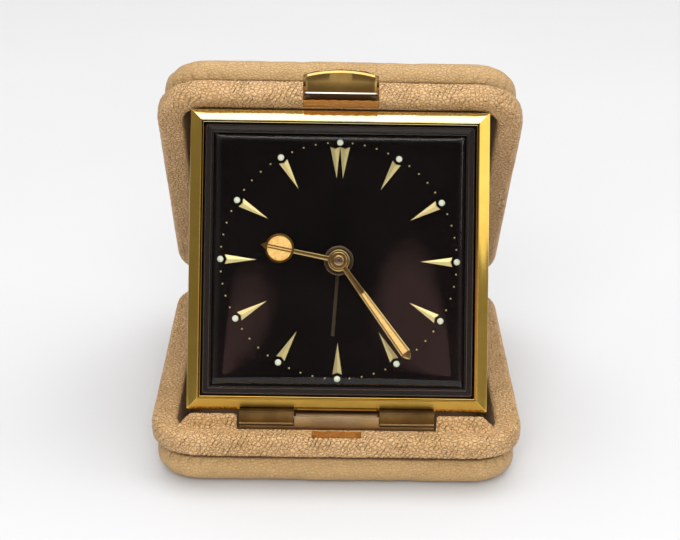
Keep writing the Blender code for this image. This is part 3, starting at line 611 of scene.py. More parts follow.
def lacquer():
    k = Material("dial_black")
    haze = k.noise(scale=0.05, detail=3, rough=0.6, distortion=0.6)
    k.set(Base_Color=k.ramp(haze, (0.35, (0.0022, 0.0021, 0.0022)),
                            (0.75, (0.0062, 0.0044, 0.0044))),
          Roughness=k.spread(k.noise(scale=0.6, detail=3), low=0.16, high=0.26),
          Specular_IOR_Level=0.30,
          Normal=k.bump(k.noise(scale=0.35, detail=2), strength=0.05, depth=0.05))
    return k.mat


def dark_surround():
    k = Material("surround_dark")
    tone = k.noise(scale=1.5, detail=4)
    k.set(Base_Color=k.ramp(tone, (0.3, (0.030, 0.026, 0.024)), (0.7, (0.038, 0.033, 0.030))),
          Metallic=0.55, Roughness=k.spread(tone, low=0.20, high=0.24),
          Normal=k.bump(k.noise(scale=3.0, detail=3), strength=0.08, depth=0.01))
    return k.mat


def lume(name, dark, light, rough):
    k = Material(name)
    grain = k.noise(scale=1.8, detail=5, rough=0.65)
    k.set(Base_Color=k.ramp(grain, (0.32, dark), (0.66, light)),
          Roughness=k.spread(grain, low=rough, high=rough + 0.2),
          Normal=k.bump(k.noise(scale=6.0, detail=3), strength=0.4, depth=0.05))
    return k.mat


def clear_crystal():
    """Clear acrylic: light passes straight through, with a Fresnel reflection on the front."""
    k = Material("crystal_clear")
    k.tree.nodes.remove(k.shader)
    wear = k.noise(scale=1.2, detail=4, rough=0.6)
    ripple = k.bump(k.noise(scale=0.10, detail=2), strength=0.25, depth=0.12)
    fresnel = k.node("ShaderNodeFresnel", {"IOR": 1.47, "Normal": ripple})
    gloss = k.node("ShaderNodeBsdfGlossy", {
        "Roughness": k.spread(wear, low=0.040, high=0.048), "Normal": ripple})
    clear = k.node("ShaderNodeBsdfTransparent", {"Color": (0.97, 0.975, 0.97)})
    back = k.node("ShaderNodeNewGeometry").outputs["Backfacing"]
    factor = k.maths("MULTIPLY", fresnel.outputs[0], k.maths("SUBTRACT", 1.0, back))
    mixed = k.node("ShaderNodeMixShader", {0: factor, 1: clear.outputs[0], 2: gloss.outputs[0]})
    k.put(k.tree.nodes["Material Output"].inputs["Surface"], mixed.outputs[0])
    return k.mat


HIDE_EDGE = raw_hide()
VELOUR = velour()
DIAL = lacquer()
SURROUND = dark_surround()
LUME_DOT = lume("lume_dots", dark=(0.62, 0.64, 0.47), light=(0.80, 0.83, 0.66), rough=0.55)
LUME_HAND = lume("lume_hands", dark=(0.84, 0.40, 0.085), light=(0.95, 0.66, 0.25), rough=0.35)
CRYSTAL = clear_crystal()
# painted highlight: a lighter grey for the surround's crests
SURROUND_HIGHLIGHT = metal("surround_painted_highlight", colour=(0.42, 0.39, 0.36), rough=0.24, scratch=0.1,
                      bump=0.004)

# ------------------------------------------------------------------ leather rims
CASE_H = 28.0  # shut case; the lid's parts are the base's turned over
WALL_X, WALL_BACK, WALL_FRONT = 38.2, 38.3, -39.6  # the inner opening
WALL_MID = (WALL_FRONT + WALL_BACK) / 2
WALL_HALF_Y = (WALL_BACK - WALL_FRONT) / 2
WALL_R = 6.0
RIM_X, RIM_Y, RIM_R = 44.75, 44.35, 12.0  # the rim's outside: half sizes and corner
ROLL_W = 2.4  # inset at which the rounded edge becomes the flat top
ROUND_RIM = 344.0  # length round the rim, for the grain
RIM_STEP = 0.30
SIDES = dict(straight=240, corner=40)

# (inset, z) of the visible roll, from the seam up and in over the top
RIM_SECTION = [
    (2.2, 8.45), (1.2, 8.5), (0.45, 8.75), (0.1, 9.3), (0.0, 10.2), (0.0, 11.2), (0.0, 12.1),
    (0.12, 12.8), (0.45, 13.4), (0.95, 13.78), (1.6, 13.97), (2.4, 14.0), (3.6, 13.98),
    (5.0, 13.96)]
# (distance out from the wall, z, grain) down the inner wall and back up behind it
COLLAR = [
    (0.9, 14.0, 0.8), (0.55, 13.93, 0.6), (0.2, 13.7, 0.4), (0.05, 13.3, 0.2), (0.0, 12.6, 0.0),
    (0.0, 7.0, 0.0), (0.0, 2.7, 0.0), (1.3, 2.7, 0.0), (1.3, 8.0, 0.0), (1.3, 8.45, 0.0)]


def at_height(z, lid):
    return CASE_H - z if lid else z


def rim_shape(lid, seed):
    """Grained rim, its faces' material numbers and the marks for its creases and its painted seam
    shade.
    """
    profile = resampled(RIM_SECTION, RIM_STEP) + RIM_SECTION[-1:]
    rings, grain, rim_seam_shade = [], [], []
    flat_x, flat_y, flat_r = RIM_X - ROLL_W, RIM_Y - ROLL_W, RIM_R - ROLL_W
    for d, z in profile:
        if d < ROLL_W:
            ring = (RIM_X - d, RIM_Y - d, RIM_R - d, at_height(z, lid), 0.0)
        else:
            # the flat top narrows towards the front wall: blend to the inner opening
            t = max(0.0, (d - ROLL_W) / (6.55 - ROLL_W))
            ring = (flat_x + ((WALL_X + 0.9) - flat_x) * t,
                    flat_y + ((WALL_HALF_Y + 0.9) - flat_y) * t,
                    flat_r + (WALL_R + 0.9 - flat_r) * t, at_height(z, lid), WALL_MID * t)
        rings.append(squircle(*ring, **SIDES))
        grain.append(1.0 if d < ROLL_W and z > 8.6 else 0.3)
        # painted shade along the rim's lower edge, at the seam with the pad
        rim_seam_shade.append(max(0.0, min(1.0, (9.0 - z) / 0.35)) if d < 2.3 else 0.0)
    for out, z, amount in COLLAR:
        rings.append(squircle(WALL_X + out, WALL_HALF_Y + out * 0.78, WALL_R + out,
                              at_height(z, lid), WALL_MID, **SIDES))
        grain.append(amount)
        rim_seam_shade.append(0.0)
    v, faces = loft(rings, closed=True)
    normals = quad_normals(v, faces)
    if normals[np.argmax(v[:, 0]), 0] < 0:
        normals = -normals
    per = len(rings[0])
    around = np.tile(np.arange(per) * (ROUND_RIM / per), len(rings))
    across = np.repeat(np.arange(len(rings)) * RIM_STEP, per)
    amount = np.repeat(np.array(grain), per)
    sign = -1.0 if lid else 1.0
    # two families of slanting creases, 1.28 and 3.4 mm apart
    warp = noise_at(v, 2.2, seed) * 0.22 + noise_at(v, 6.0, seed + 9) * 0.50
    phase1 = around / ROUND_RIM * round(ROUND_RIM / 1.28) - sign * across / 2.1 + warp
    phase2 = (around / ROUND_RIM * round(ROUND_RIM / 3.4) + sign * across / 1.5 - warp * 0.8
              + 0.37)
    on1 = patches(v, 2.0, seed + 3, bias=0.45, gain=1.5)
    on2 = patches(v, 1.5, seed + 6, bias=-0.15, gain=1.6)
    groove = np.maximum(line_depth(phase1, 0.26) * on1, 0.8 * (line_depth(phase2, 0.24) * on2))
    push = amount * (-0.20 * groove + 0.05 * noise_at(v, 1.0, seed + 1)
                     + 0.07 * noise_at(v, 9.0, seed + 5))
    v = v + normals * np.clip(push, -0.4, 0.06)[:, None]
    shown = np.clip(amount, 0, 1)
    marks = {"ph1": phase1, "ph2": phase2, "on1": on1 * shown, "on2": on2 * shown,
             "crease": np.repeat(np.array(rim_seam_shade), per) * 0.9}
    # velour on the inner wall
    lined = range(len(profile) + 4, len(profile) + 10)
    return (v, faces), [int(i // per in lined) for i in range(len(faces))], marks


def nearest(points, values, query):
    """Each query point takes its nearest point's values."""
    tree = KDTree(len(points))
    for i, point in enumerate(points):
        tree.insert(point, i)
    tree.balance()
    found = np.array([tree.find(q)[1] for q in query])
    return {key: np.asarray(value)[found] for key, value in values.items()}


def rim(name, node, body, seed, cutters):
    mats = [TAN_RIM, VELOUR, HIDE_EDGE]
    shape, face_mats, marks = rim_shape(body == "lid", seed)
    cut, face_mats = carve(shape, cutters, mats, face_mats)
    make(name, cut, body, mats, (node,), sharp=70, face_mats=face_mats,
         marks=nearest(shape[0], marks, cut[0]))


# (y, z) of the leather-wrapped sill beside the clock's hinge
SILL = [
    (-40.4, 12.9), (-40.3, 13.75), (-39.75, 13.98), (-39.3, 14.12), (-39.12, 14.5),
    (-38.95, 15.4), (-38.80, 16.2), (-38.58, 16.8), (-38.25, 17.08), (-37.9, 17.0),
    (-37.6, 16.5), (-37.48, 14.8), (-37.42, 12.7)]


def sill(name, x0, x1, seed=4.0):
    """Its end away from the middle spreads into the rim as it goes down."""
    steps = 90
    section = resampled(SILL + SILL[:1], 0.25)
    mid_y, mid_z = np.mean(section, axis=0)
    left = abs(x0) > abs(x1)
    rings = []
    for i in range(steps + 1):
        u = i / steps
        end = min(1.0, min(u, 1 - u) * (x1 - x0) / 0.7)
        size = math.sqrt(max(0.0, 1 - (1 - end) ** 2)) * 0.22 + 0.78
        out = (1 - u) if left else u
        ring = []
        for y, z in section:
            low = max(0.0, min(1.0, (16.9 - z) / 3.2))
            flare = 2.9 * low * max(0.0, (out - 0.55) / 0.45) ** 1.5
            ring.append((x0 + (x1 - x0) * u + (-flare if left else flare),
                         mid_y + (y - mid_y) * size, mid_z + (z - mid_z) * size))
        rings.append(ring)
    v, faces = loft(rings)
    normals = quad_normals(v, faces)
    if normals[np.argmin(v[:, 1]), 1] > 0:
        normals = -normals
    phase = v[:, 0] / 1.5 - (v[:, 2] - v[:, 1] * 0.6) / 2.2 + 0.5 * noise_at(v, 3.0, seed)
    groove = line_depth(phase, 0.22) * patches(v, 2.2, seed + 2, bias=0.5, gain=1.3)
    push = -0.16 * groove + 0.05 * noise_at(v, 1.0, seed) - 0.03
    none = np.zeros(len(v))
    marks = {"ph1": phase, "on1": patches(v, 1.8, seed + 4, bias=0.5, gain=1.3),
             "ph2": none + 0.5, "on2": none}
    make(name, (v + normals * push[:, None], faces), "base", TAN_RIM, sharp=80,
         marks=marks)


LATCH_SLOT = loft([squircle(5.9, 1.42, 0.4, z, mid_y=-42.05, corner=4) for z in (11.0, 15.0)])
BACK_RECESS = rect(-30.6, 30.6, 41.0, 46.5)
# (x, z) of the opening in the lid's front behind the latch
POCKET_X = 9.1
POCKET = [(-POCKET_X, 13.0), (POCKET_X, 13.0), (POCKET_X, 22.2), (6.0, 23.25), (0.0, 23.8),
          (-6.0, 23.25), (-POCKET_X, 22.2)]

rim("rim_leather_lower", "lower_rim", "base", 2.0, [LATCH_SLOT, prism(BACK_RECESS, 12.9, 15.0)])
sill("sill_leather_right", 23.75, 35.2)
sill("sill_leather_left", -35.2, -23.75)
rim("rim_leather_lid", "upper_rim", "lid", 7.0,
    [slab_y(POCKET, -46.5, -41.5), prism(rect(-POCKET_X, POCKET_X, -43.0, -40.7), 13.0, 14.7),
     prism(BACK_RECESS, 13.0, 15.1)])

# ------------------------------------------------------------------ padded covers
SIM_SCALE = 0.01  # the cloth is solved ten times life size, in metres
PAD_TOP = 8.2
PAD_SLACK = 0.15  # how far the form starts inside the full cover
# (inset, z): flat sole, crowned flank, tucked in under the rim
PAD_SECTION = [(3.9, 0.0), (2.2, 0.35), (1.0, 1.2), (0.35, 2.4), (0.0, 3.9), (0.18, 5.3),
               (0.85, 6.8), (2.1, PAD_TOP)]
CLOTH = dict(quality=6, mass=0.3, tension_stiffness=12, compression_stiffness=12,
             shear_stiffness=4, bending_stiffness=3.0, vertex_group_mass="held",
             pin_stiffness=1.0, use_pressure=True, uniform_pressure_force=4.0,
             shrink_min=-0.008)
CLOTH_FRAMES = 20


def inflate(ob):
    """Puff the pad out as cloth, its sole and its edge under the rim held."""
    rest, _ = shape_of(ob)
    held = ob.vertex_groups.new(name="held")
    for i, z in enumerate(rest[:, 2] / SIM_SCALE):
        if z > 7.9 or z < 0.25:
            held.add([i], 1.0, "REPLACE")
    cloth = ob.modifiers.new("cloth", "CLOTH")
    for key, value in CLOTH.items():
        setattr(cloth.settings, key, value)
    cloth.settings.effector_weights.gravity = 0.0
    cloth.collision_settings.use_collision = False
    cloth.point_cache.frame_start = 1
    cloth.point_cache.frame_end = CLOTH_FRAMES
    for number in range(1, CLOTH_FRAMES + 1):
        SCENE.frame_set(number)
    apply_modifiers(ob)
    move = shape_of(ob)[0] - rest
    length = np.linalg.norm(move, axis=1)
    furthest = 0.9 * SIM_SCALE
    move *= np.minimum(1.0, furthest / np.maximum(length, 1e-9))[:, None]
    SCENE.frame_set(1)
    ob.data.vertices.foreach_set("co", (rest + move).ravel())
    ob.data.update()


def pad_shape(seed):
    """The whole pad, and how much painted shade each vertex takes in a fold or at the seam."""
    form, faces = loft([squircle(43.85 - d - PAD_SLACK, 43.3 - d - PAD_SLACK, 10.8 - d * 0.8, z)
                        for d, z in PAD_SECTION])
    ob = raw_object("pad_sim", form * SIM_SCALE, faces)
    remesh = ob.modifiers.new("remesh", "REMESH")
    remesh.mode = "VOXEL"
    remesh.voxel_size = 0.019
    apply_modifiers(ob)
    inflate(ob)
    smooth = ob.modifiers.new("sub", "SUBSURF")
    smooth.levels = smooth.render_levels = 2
    apply_modifiers(ob)
    v, faces = shape_of(ob)
    bpy.data.objects.remove(ob, do_unlink=True)
    v = v / SIM_SCALE
    # pleats where the skin is gathered round each corner into the seam, and a soft grain
    angle = np.arctan2(np.abs(v[:, 1]), np.abs(v[:, 0]))
    radius = np.hypot(v[:, 0], v[:, 1])
    corner = np.exp(-((angle - math.pi / 4) / 0.26) ** 2) * np.clip((radius - 40) / 10, 0, 1)
    up = np.clip((v[:, 2] - 3.6) / 4.4, 0, 1) ** 1.5
    wave = np.abs(np.sin(angle * 58 + 1.6 * noise_at(v, 4.0, seed)))
    pleat = (wave - 0.75) * corner * up
    outward = np.stack([v[:, 0], v[:, 1], np.zeros(len(v))], 1)
    outward /= np.maximum(np.linalg.norm(outward, axis=1), 1e-6)[:, None]
    side = np.clip((radius - 30) / 12, 0, 1)
    push = (0.62 * pleat + 0.07 * noise_at(v, 8.0, seed + 2) * side
            + 0.05 * noise_at(v, 1.3, seed + 4) * side)
    v = v + outward * push[:, None]
    # the sole stays flat and the flanks within the case
    v[:, 2] = np.clip(v[:, 2], 0.0, PAD_TOP)
    v[:, 0] = np.clip(v[:, 0], -44.0, 44.0)
    v[:, 1] = np.clip(v[:, 1], -43.7, 43.7)
    # painted shade on the pad's shoulder under the rim and in the valleys of the corner pleats
    seam = np.clip((v[:, 2] - 6.85) / 0.45, 0, 1) * 1.3
    pad_shade = np.clip((0.42 - wave) / 0.42, 0, 1) * corner * up
    return (v, faces), np.clip(np.maximum(pad_shade, seam), 0, 1.3)


def pad(name, node, body, seed):
    shape, pad_shade = pad_shape(seed)
    source = shape[0].copy()
    cavity = loft([squircle(39.95, 40.45, 7.5, z, mid_y=-0.6) for z in (1.2, 9.5)])
    shape, _ = carve(shape, [cavity])
    if body == "lid":
        source[:, 2] = CASE_H - source[:, 2]
        shape[0][:, 2] = CASE_H - shape[0][:, 2]
        shape, _ = carve(shape, [slab_y(POCKET, -46.5, -41.75)])
    make(name, shape, body, TAN_PAD, (node,), sharp=60,
         marks=nearest(source, {"crease": pad_shade}, shape[0]))


def seam_fold():
    """Folded edge between the lower rim and its pad."""
    rings = []
    # (inset, z) round the fold
    for d, z in ((1.9, 7.3), (1.55, 7.6), (1.5, 8.1), (1.6, 8.7), (2.6, 8.75), (2.8, 7.3)):
        ring = squircle(43.1 - d, 42.8 - d, 10.6 - d * 0.6, z, straight=60, corner=12)
        rings.append([(x, y, h + 0.06 * math.sin(i * 0.9)) for i, (x, y, h) in enumerate(ring)])
    make("seam_fold_lower", loft(rings, closed=True), "base", HIDE_EDGE, sharp=60)


seam_fold()
pad("pad_leather_lower", "lower_cover", "base", 1.0)
pad("pad_leather_lid", "upper_cover", "lid", 5.0)

# ------------------------------------------------------------------ linings
LINING_X, LINING_FRONT, LINING_BACK = 37.6, -38.6, 37.4


def lining(name, node, body, seed):
    """Thin velour cushion on the case's floor, its top rounded down over 3 mm at the edges."""
    n = 44
    x, y = np.meshgrid(np.linspace(-LINING_X, LINING_X, n),
                       np.linspace(LINING_FRONT, LINING_BACK, n))
    x, y = x.ravel(), y.ravel()
    from_edge = np.minimum(LINING_X - np.abs(x), np.minimum(y - LINING_FRONT, LINING_BACK - y))
    e = np.clip(from_edge, 0.0, 3.0) / 3.0
    top = np.stack([x, y, 1.75 + 0.5 * np.sqrt(np.maximum(0, 1 - (1 - e) ** 2))], 1)
    top[:, 2] += noise_at(top, 14.0, seed) * 0.06
    v, faces = sheet(top, np.stack([x, y, np.full(n * n, 1.5)], 1), n, n)
    v[:, 2] = at_height(v[:, 2], body == "lid")
    make(name, (v, faces), body, VELOUR, (node,), sharp=0)


lining("lining_velour_lower", "lower_lining", "base", 3.0)
lining("lining_velour_lid", "upper_lining", "lid", 6.0)

# ------------------------------------------------------------------ bezel, crystal and dial
# (inset, height over the dial) round each frame's section
BEZEL_SECTION = [
    (0.25, -0.5), (0.0, -0.25), (0.0, 2.15), (0.08, 2.40), (0.62, 2.75), (0.76, 2.84),
    (2.50, 3.84), (2.60, 3.92), (2.72, 4.16), (2.84, 4.22), (3.18, 4.22), (3.28, 4.12),
    (3.30, 3.9), (3.30, -0.5)]
SURROUND_SECTION = [
    (0.0, 0.8), (0.0, 3.35), (0.10, 3.48), (0.30, 3.48), (0.42, 3.30), (1.22, 3.02),
    (1.34, 3.10), (1.50, 3.10), (1.60, 2.95), (1.66, 2.35), (1.88, 2.25), (1.9, 2.15),
    (1.9, 0.8)]


def square_frame(name, half, section, radius, mats, node, rule):
    """rule(x, y, height) gives a face's material number from its middle on the face."""
    v, faces = loft([squircle(half - d, half - d, max(radius - d * 0.25, 0.12), FACE_Z + h,
                              mid_y=FACE_Y, corner=3) for d, h in section], closed=True)
    middles = [v[list(face)].mean(0) for face in faces]
    make(name, (v, faces), "clock", mats, (node,), sharp=20,
         face_mats=[int(rule(x, y - FACE_Y, z - FACE_Z)) for x, y, z in middles])


def bezel_rule(x, y, height):
    """Painted highlight in a paler gilt on the twelve o'clock side; rubbed on the upper slopes of
    the six.
    """
    if y > abs(x):
        return 1
    return 2 if -y > abs(x) and height > 2.8 else 0


square_frame("bezel_gilt", 35.9, BEZEL_SECTION, 0.32, [GILT_BEZEL, GILT_BEZEL_HIGHLIGHT, GILT_LOW],
             "bezel", bezel_rule)
# painted highlight: the surround's two narrow crests take a lighter grey material
square_frame("surround_dark", 32.2, SURROUND_SECTION, 0.5, [SURROUND, SURROUND_HIGHLIGHT],
             "dial_surround", lambda x, y, h: h > 3.47 or 3.09 < h < 3.11)


def crystal():
    """Low square dome with a raised edge; points crowd towards the sides."""
    half, n = 29.9, 56
    s = np.linspace(-1, 1, n)
    s = np.sign(s) * (1 - (1 - np.abs(s)) ** 1.7)
    x, y = np.meshgrid(s, s)
    inside = (1 - np.abs(x) ** 36) * (1 - np.abs(y) ** 36)
    edge = 1 - inside
    height = 2.45 + 1.15 * (1 - x ** 2) * (1 - y ** 2) + 1.05 * (1 - edge)
    top, bottom = (np.stack([x * half, y * half, h], -1).reshape(-1, 3)
                   for h in (height + 0.42, height))
    make("crystal_dome", moved(sheet(top, bottom, n, n), FACE), "clock", CRYSTAL,
         ("crystal",), sharp=50)


crystal()
DIAL_HALF = 31.9
make("dial_plate", prism(rect(-DIAL_HALF, DIAL_HALF, FACE_Y - DIAL_HALF, FACE_Y + DIAL_HALF),
                         FACE_Z, FACE_Z + 0.4, [circle(0, FACE_Y, 1.8, 48)]),
     "clock", DIAL, ("dial",), sharp=20)

DART_TIP, DART_END = 19.8, 27.35  # radii of the inner point and outer end
DART_FACES = [(0, 1, 2), (0, 2, 3), (1, 4, 2), (4, 3, 2), (0, 5, 6, 1), (1, 6, 7, 4),
              (4, 7, 8, 3), (3, 8, 5, 0), (5, 8, 7, 6)]


def dart(name, hour, half_w, side=0.0):
    """Faceted hour dart: ridge down the middle, notched outer end; side shifts it sideways."""
    foot, rim_h, ridge_h = 0.42, 0.50, 1.14
    notch = DART_END - 0.32
    # (radius, sideways, height)
    points = [(DART_TIP, 0.0, rim_h + 0.06), (DART_END, -half_w, rim_h),
              (DART_END - 0.60, 0.0, ridge_h), (DART_END, half_w, rim_h),
              (notch, 0.0, rim_h + 0.02), (DART_TIP, 0.0, foot), (DART_END, -half_w, foot),
              (notch, 0.0, foot), (DART_END, half_w, foot)]
    a = math.radians(90 - 30 * hour)
    verts = []
    for r, t, h in points:
        t += side * (0.62 if r == DART_TIP else 1.0)
        verts.append((math.cos(a) * r - math.sin(a) * t, math.sin(a) * r + math.cos(a) * t, h))
    make(name, moved((np.array(verts), DART_FACES), FACE), "clock", GILT_DART, sharp=8)


for hour in range(1, 12):
    dart("hour_dart_%02d" % hour, hour, 1.12)
dart("hour_dart_12a", 12, 1.17, side=-1.20)
dart("hour_dart_12b", 12, 1.17, side=1.20)

TRACK_R = 28.45
# (radius, height)
HOUR_DOT = [(0, 0.41), (0.74, 0.41), (0.78, 0.5), (0.66, 0.68), (0.38, 0.79), (0, 0.83)]
MINUTE_DOT = [(0, 0.41), (0.22, 0.41), (0.20, 0.5), (0.1, 0.56), (0, 0.58)]


def dots(name, profile, n, minutes, mat):
    parts = []
    for minute in minutes:
        a = math.radians(90 - 6 * minute)
        parts.append(moved(lathe(profile, n), (TRACK_R * math.cos(a),
                                               FACE_Y + TRACK_R * math.sin(a), FACE_Z)))
    make(name, merge(*parts), "clock", mat, sharp=60)


dots("lume_hour_dots", HOUR_DOT, 20, range(0, 60, 5), LUME_DOT)
dots("minute_dots", MINUTE_DOT, 10, [m for m in range(60) if m % 5], GILT_DART)

# ------------------------------------------------------------------ hands
# Degrees clockwise from twelve. Hands are drawn about the arbor, heights over the dial.
HOUR_AT, MINUTE_AT, ALARM_AT = -79.0, 143.4, 183.8


def strip(stations, crown, z_low, z_top, per=7):
    """Blade through (y, half width) stations, with a crowned top and a flat underside."""
    rings = []
    for y, w in stations:
        ring = []
        for k in range(per):
            t = -1 + 2 * k / (per - 1)
            ring.append((w * t, y, z_top - crown * t * t))
        rings.append(ring + [(w, y, z_low), (-w, y, z_low)])
    return loft(rings)


def trough(y0, y1, width_at, z_low, z_edge, rail):
    """Blade with a raised rail along each side of a channel."""
    rings = []
    steps = 14
    for k in range(steps + 1):
        y = y0 + (y1 - y0) * k / steps
        w = width_at(y)
        rings.append([
            (-w, y, z_low), (-w, y, z_edge - 0.05), (-w + rail * 0.45, y, z_edge + 0.07),
            (-w + rail, y, z_edge - 0.06), (w - rail, y, z_edge - 0.06),
            (w - rail * 0.45, y, z_edge + 0.07), (w, y, z_edge - 0.05), (w, y, z_low)])
    return loft(rings)


def hour_hand():
    """Stem, a ring with two ribs round a lume disc, and a small arrow tip."""
    disc_y, disc_r = 14.5, 3.55
    near, far = disc_y - disc_r, disc_y + disc_r
    disc_at = (0, disc_y, 0)
    stem = strip([(1.0, 0.60), (2.6, 0.56), (near + 0.1, 0.52)], 0.16, 1.30, 1.62)
    tip = prism([(x, far + y) for x, y in (
        (-0.95, -0.25), (0.95, -0.25), (0.42, 0.42), (0.14, 0.78), (0.0, 1.12), (-0.14, 0.78),
        (-0.42, 0.42))], 1.32, 1.54)
    hub = lathe([(1.25, 1.30), (2.45, 1.30), (2.6, 1.38), (2.6, 1.55), (2.48, 1.64), (2.2, 1.66),
                 (2.12, 1.60), (1.25, 1.60)], 64)
    # (inset from the disc's radius, height)
    ring = lathe([(disc_r - d, h) for d, h in (
        (0.58, 1.30), (0.02, 1.30), (-0.02, 1.42), (0.04, 1.60), (0.18, 1.72), (0.46, 1.66),
        (0.58, 1.48))], 72)
    rib = strip([(near + 0.1, 0.15), (far - 0.1, 0.15)], 0.05, 1.38, 1.74, 5)
    ribs = [moved(rib, (x, 0, 0)) for x in (-0.30, 0.30)]
    disc = lathe([(0, 1.34), (disc_r - 0.59, 1.34), (disc_r - 0.59, 1.44), (disc_r - 1.05, 1.53),
                  (disc_r - 2.0, 1.58), (0, 1.59)], 56)
    make("hour_hand_gilt", on_face(merge(stem, tip, hub), HOUR_AT), "hour_sleeve", GILT_HAND,
         ("hour_hand",), sharp=35)
    make("hour_hand_ring", on_face(merge(moved(ring, disc_at), *ribs), HOUR_AT), "hour_sleeve",
         GILT_OLD, sharp=35)
    make("hour_hand_lume", on_face(moved(disc, disc_at), HOUR_AT), "hour_sleeve", LUME_HAND,
         sharp=60)


def minute_width(y):
    """Half width of the minute hand, widening from the arbor to its shoulder."""
    return 0.58 + (1.28 - 0.58) * max(0.0, min(1.0, y / 27.6))


def minute_hand():
    low, top, end_y = 1.80, 2.06, 27.3
    blade = trough(9.6, end_y, minute_width, low, top, 0.42)
    stem = strip([(1.0, 0.62), (4.0, 0.66), (9.7, minute_width(9.7))], 0.16, low, top)
    end = strip([(27.25, minute_width(end_y)), (27.75, 1.16), (28.3, 0.84), (28.85, 0.42),
                 (29.1, 0.10)], 0.16, low, 2.05)
    hub = lathe([(0.62, low), (1.95, low), (2.06, 1.88), (2.05, 2.02), (1.92, 2.12),
                 (1.60, 2.15), (1.50, 2.08), (1.28, 2.08), (1.20, 2.20), (1.02, 2.30),
                 (0.80, 2.30), (0.70, 2.20), (0.62, 2.15)], 64)
    make("minute_hand_gilt", on_face(merge(blade, stem, end, hub), MINUTE_AT), "minute_arbor",
         GILT_HAND, ("minute_hand",), sharp=32)
    rings = []
    for k in range(15):
        y = 9.75 + (27.2 - 9.75) * k / 14
        w = minute_width(y) - 0.43
        rings.append([(-w, y, 1.97), (-w * 0.6, y, 2.045), (0, y, 2.06), (w * 0.6, y, 2.045),
                      (w, y, 1.97), (0, y, 1.965)])
    make("minute_hand_lume", on_face(loft(rings), MINUTE_AT), "minute_arbor", LUME_HAND,
         sharp=60)


def arbor_cap():
    ring = lathe([(0.40, 2.50), (0.40, 2.66), (0.52, 2.74), (0.74, 2.74), (0.98, 2.62),
                  (1.02, 2.40), (1.02, 2.32), (0.98, 2.32), (0.98, 2.50)], 40)
    pin = lathe([(0, 2.605), (0.40, 2.605), (0.40, 2.64), (0.2, 2.66), (0, 2.665)], 24)
    make("arbor_cap_ring", moved(ring, FACE), "minute_arbor", COPPER, sharp=40)
    make("arbor_cap_pin", moved(pin, FACE), "minute_arbor", BRONZE, sharp=60)


def alarm_hand():
    """Slim grooved bar on a thin dished washer."""
    bar = trough(3.2, 18.2, lambda y: 0.42, 0.75, 0.93, 0.22)
    hub = lathe([(1.75, 0.75), (3.45, 0.75), (3.58, 0.82), (3.55, 0.95), (3.42, 1.0),
                 (3.28, 0.94), (3.1, 0.86), (1.75, 0.86)], 64)
    make("alarm_hand_bronze", on_face(merge(bar, hub), ALARM_AT), "alarm_sleeve", BRONZE,
         ("alarm_hand",), sharp=35)


hour_hand()
minute_hand()
arbor_cap()
alarm_hand()

# ------------------------------------------------------------------ clock hinge
PIN_Y, PIN_Z = CLOCK_HINGE[1:]
LEAF_X, MIDDLE_X, TAB_X = 23.2, 9.7, 10.2  # half widths; each tab runs from TAB_X to LEAF_X
# (x, z) of the leaf on the front wall, with a raised middle
LEAF = [
    (-LEAF_X, 5.0), (LEAF_X, 5.0), (LEAF_X, 14.15), (22.95, 14.4), (10.35, 14.4), (10.05, 14.7),
    (10.05, 16.75), (9.85, 16.98), (-9.85, 16.98), (-10.05, 16.75), (-10.05, 14.7),
    (-10.35, 14.4), (-22.95, 14.4), (-LEAF_X, 14.15)]
# (y, z) sections; the roll laps from the leaf towards the pin
LEAF_ROLL = [(-38.85, 16.7), (-38.85, 16.98), (-38.3, 17.08), (-38.0, 17.1), (-38.0, 16.9)]
BRACKET = [(-38.0, 16.72), (-37.2, 16.72), (-37.0, 16.5), (-37.0, 12.4), (-34.3, 12.4),
           (-34.3, 11.95), (-37.45, 11.95), (-37.45, 16.2), (-38.0, 16.25)]
BRIDGE = [(-37.0, 12.4), (-34.3, 12.4), (-34.3, 11.95), (-37.0, 11.95)]
# (y, z) with the clock upright: sheet folded over the pin, and the lip along its lower edge; the
# lip's bright gilt is a painted highlight
STRAP = [(-39.0, 15.28), (-39.0, 17.82), (-38.88, 17.98), (-37.02, 18.02), (-37.02, 17.5),
         (-38.4, 17.4), (-38.72, 17.1), (-38.72, 15.25), (-38.98, 15.22)]
LIP = [(-38.45, 15.20), (-38.40, 14.86), (-38.60, 14.74), (-39.02, 14.74), (-39.15, 14.84),
       (-39.17, 15.02), (-39.08, 15.16), (-38.95, 15.21)]


def folded_flat(section):
    """Turn a section drawn with the clock upright back to the folded drawing."""
    a = math.radians(-CLOCK_TURN)
    out = []
    for y, z in section:
        dy, dz = y - PIN_Y, z - PIN_Z
        out.append((PIN_Y + dy * math.cos(a) - dz * math.sin(a),
                    PIN_Z + dy * math.sin(a) + dz * math.cos(a)))
    return out


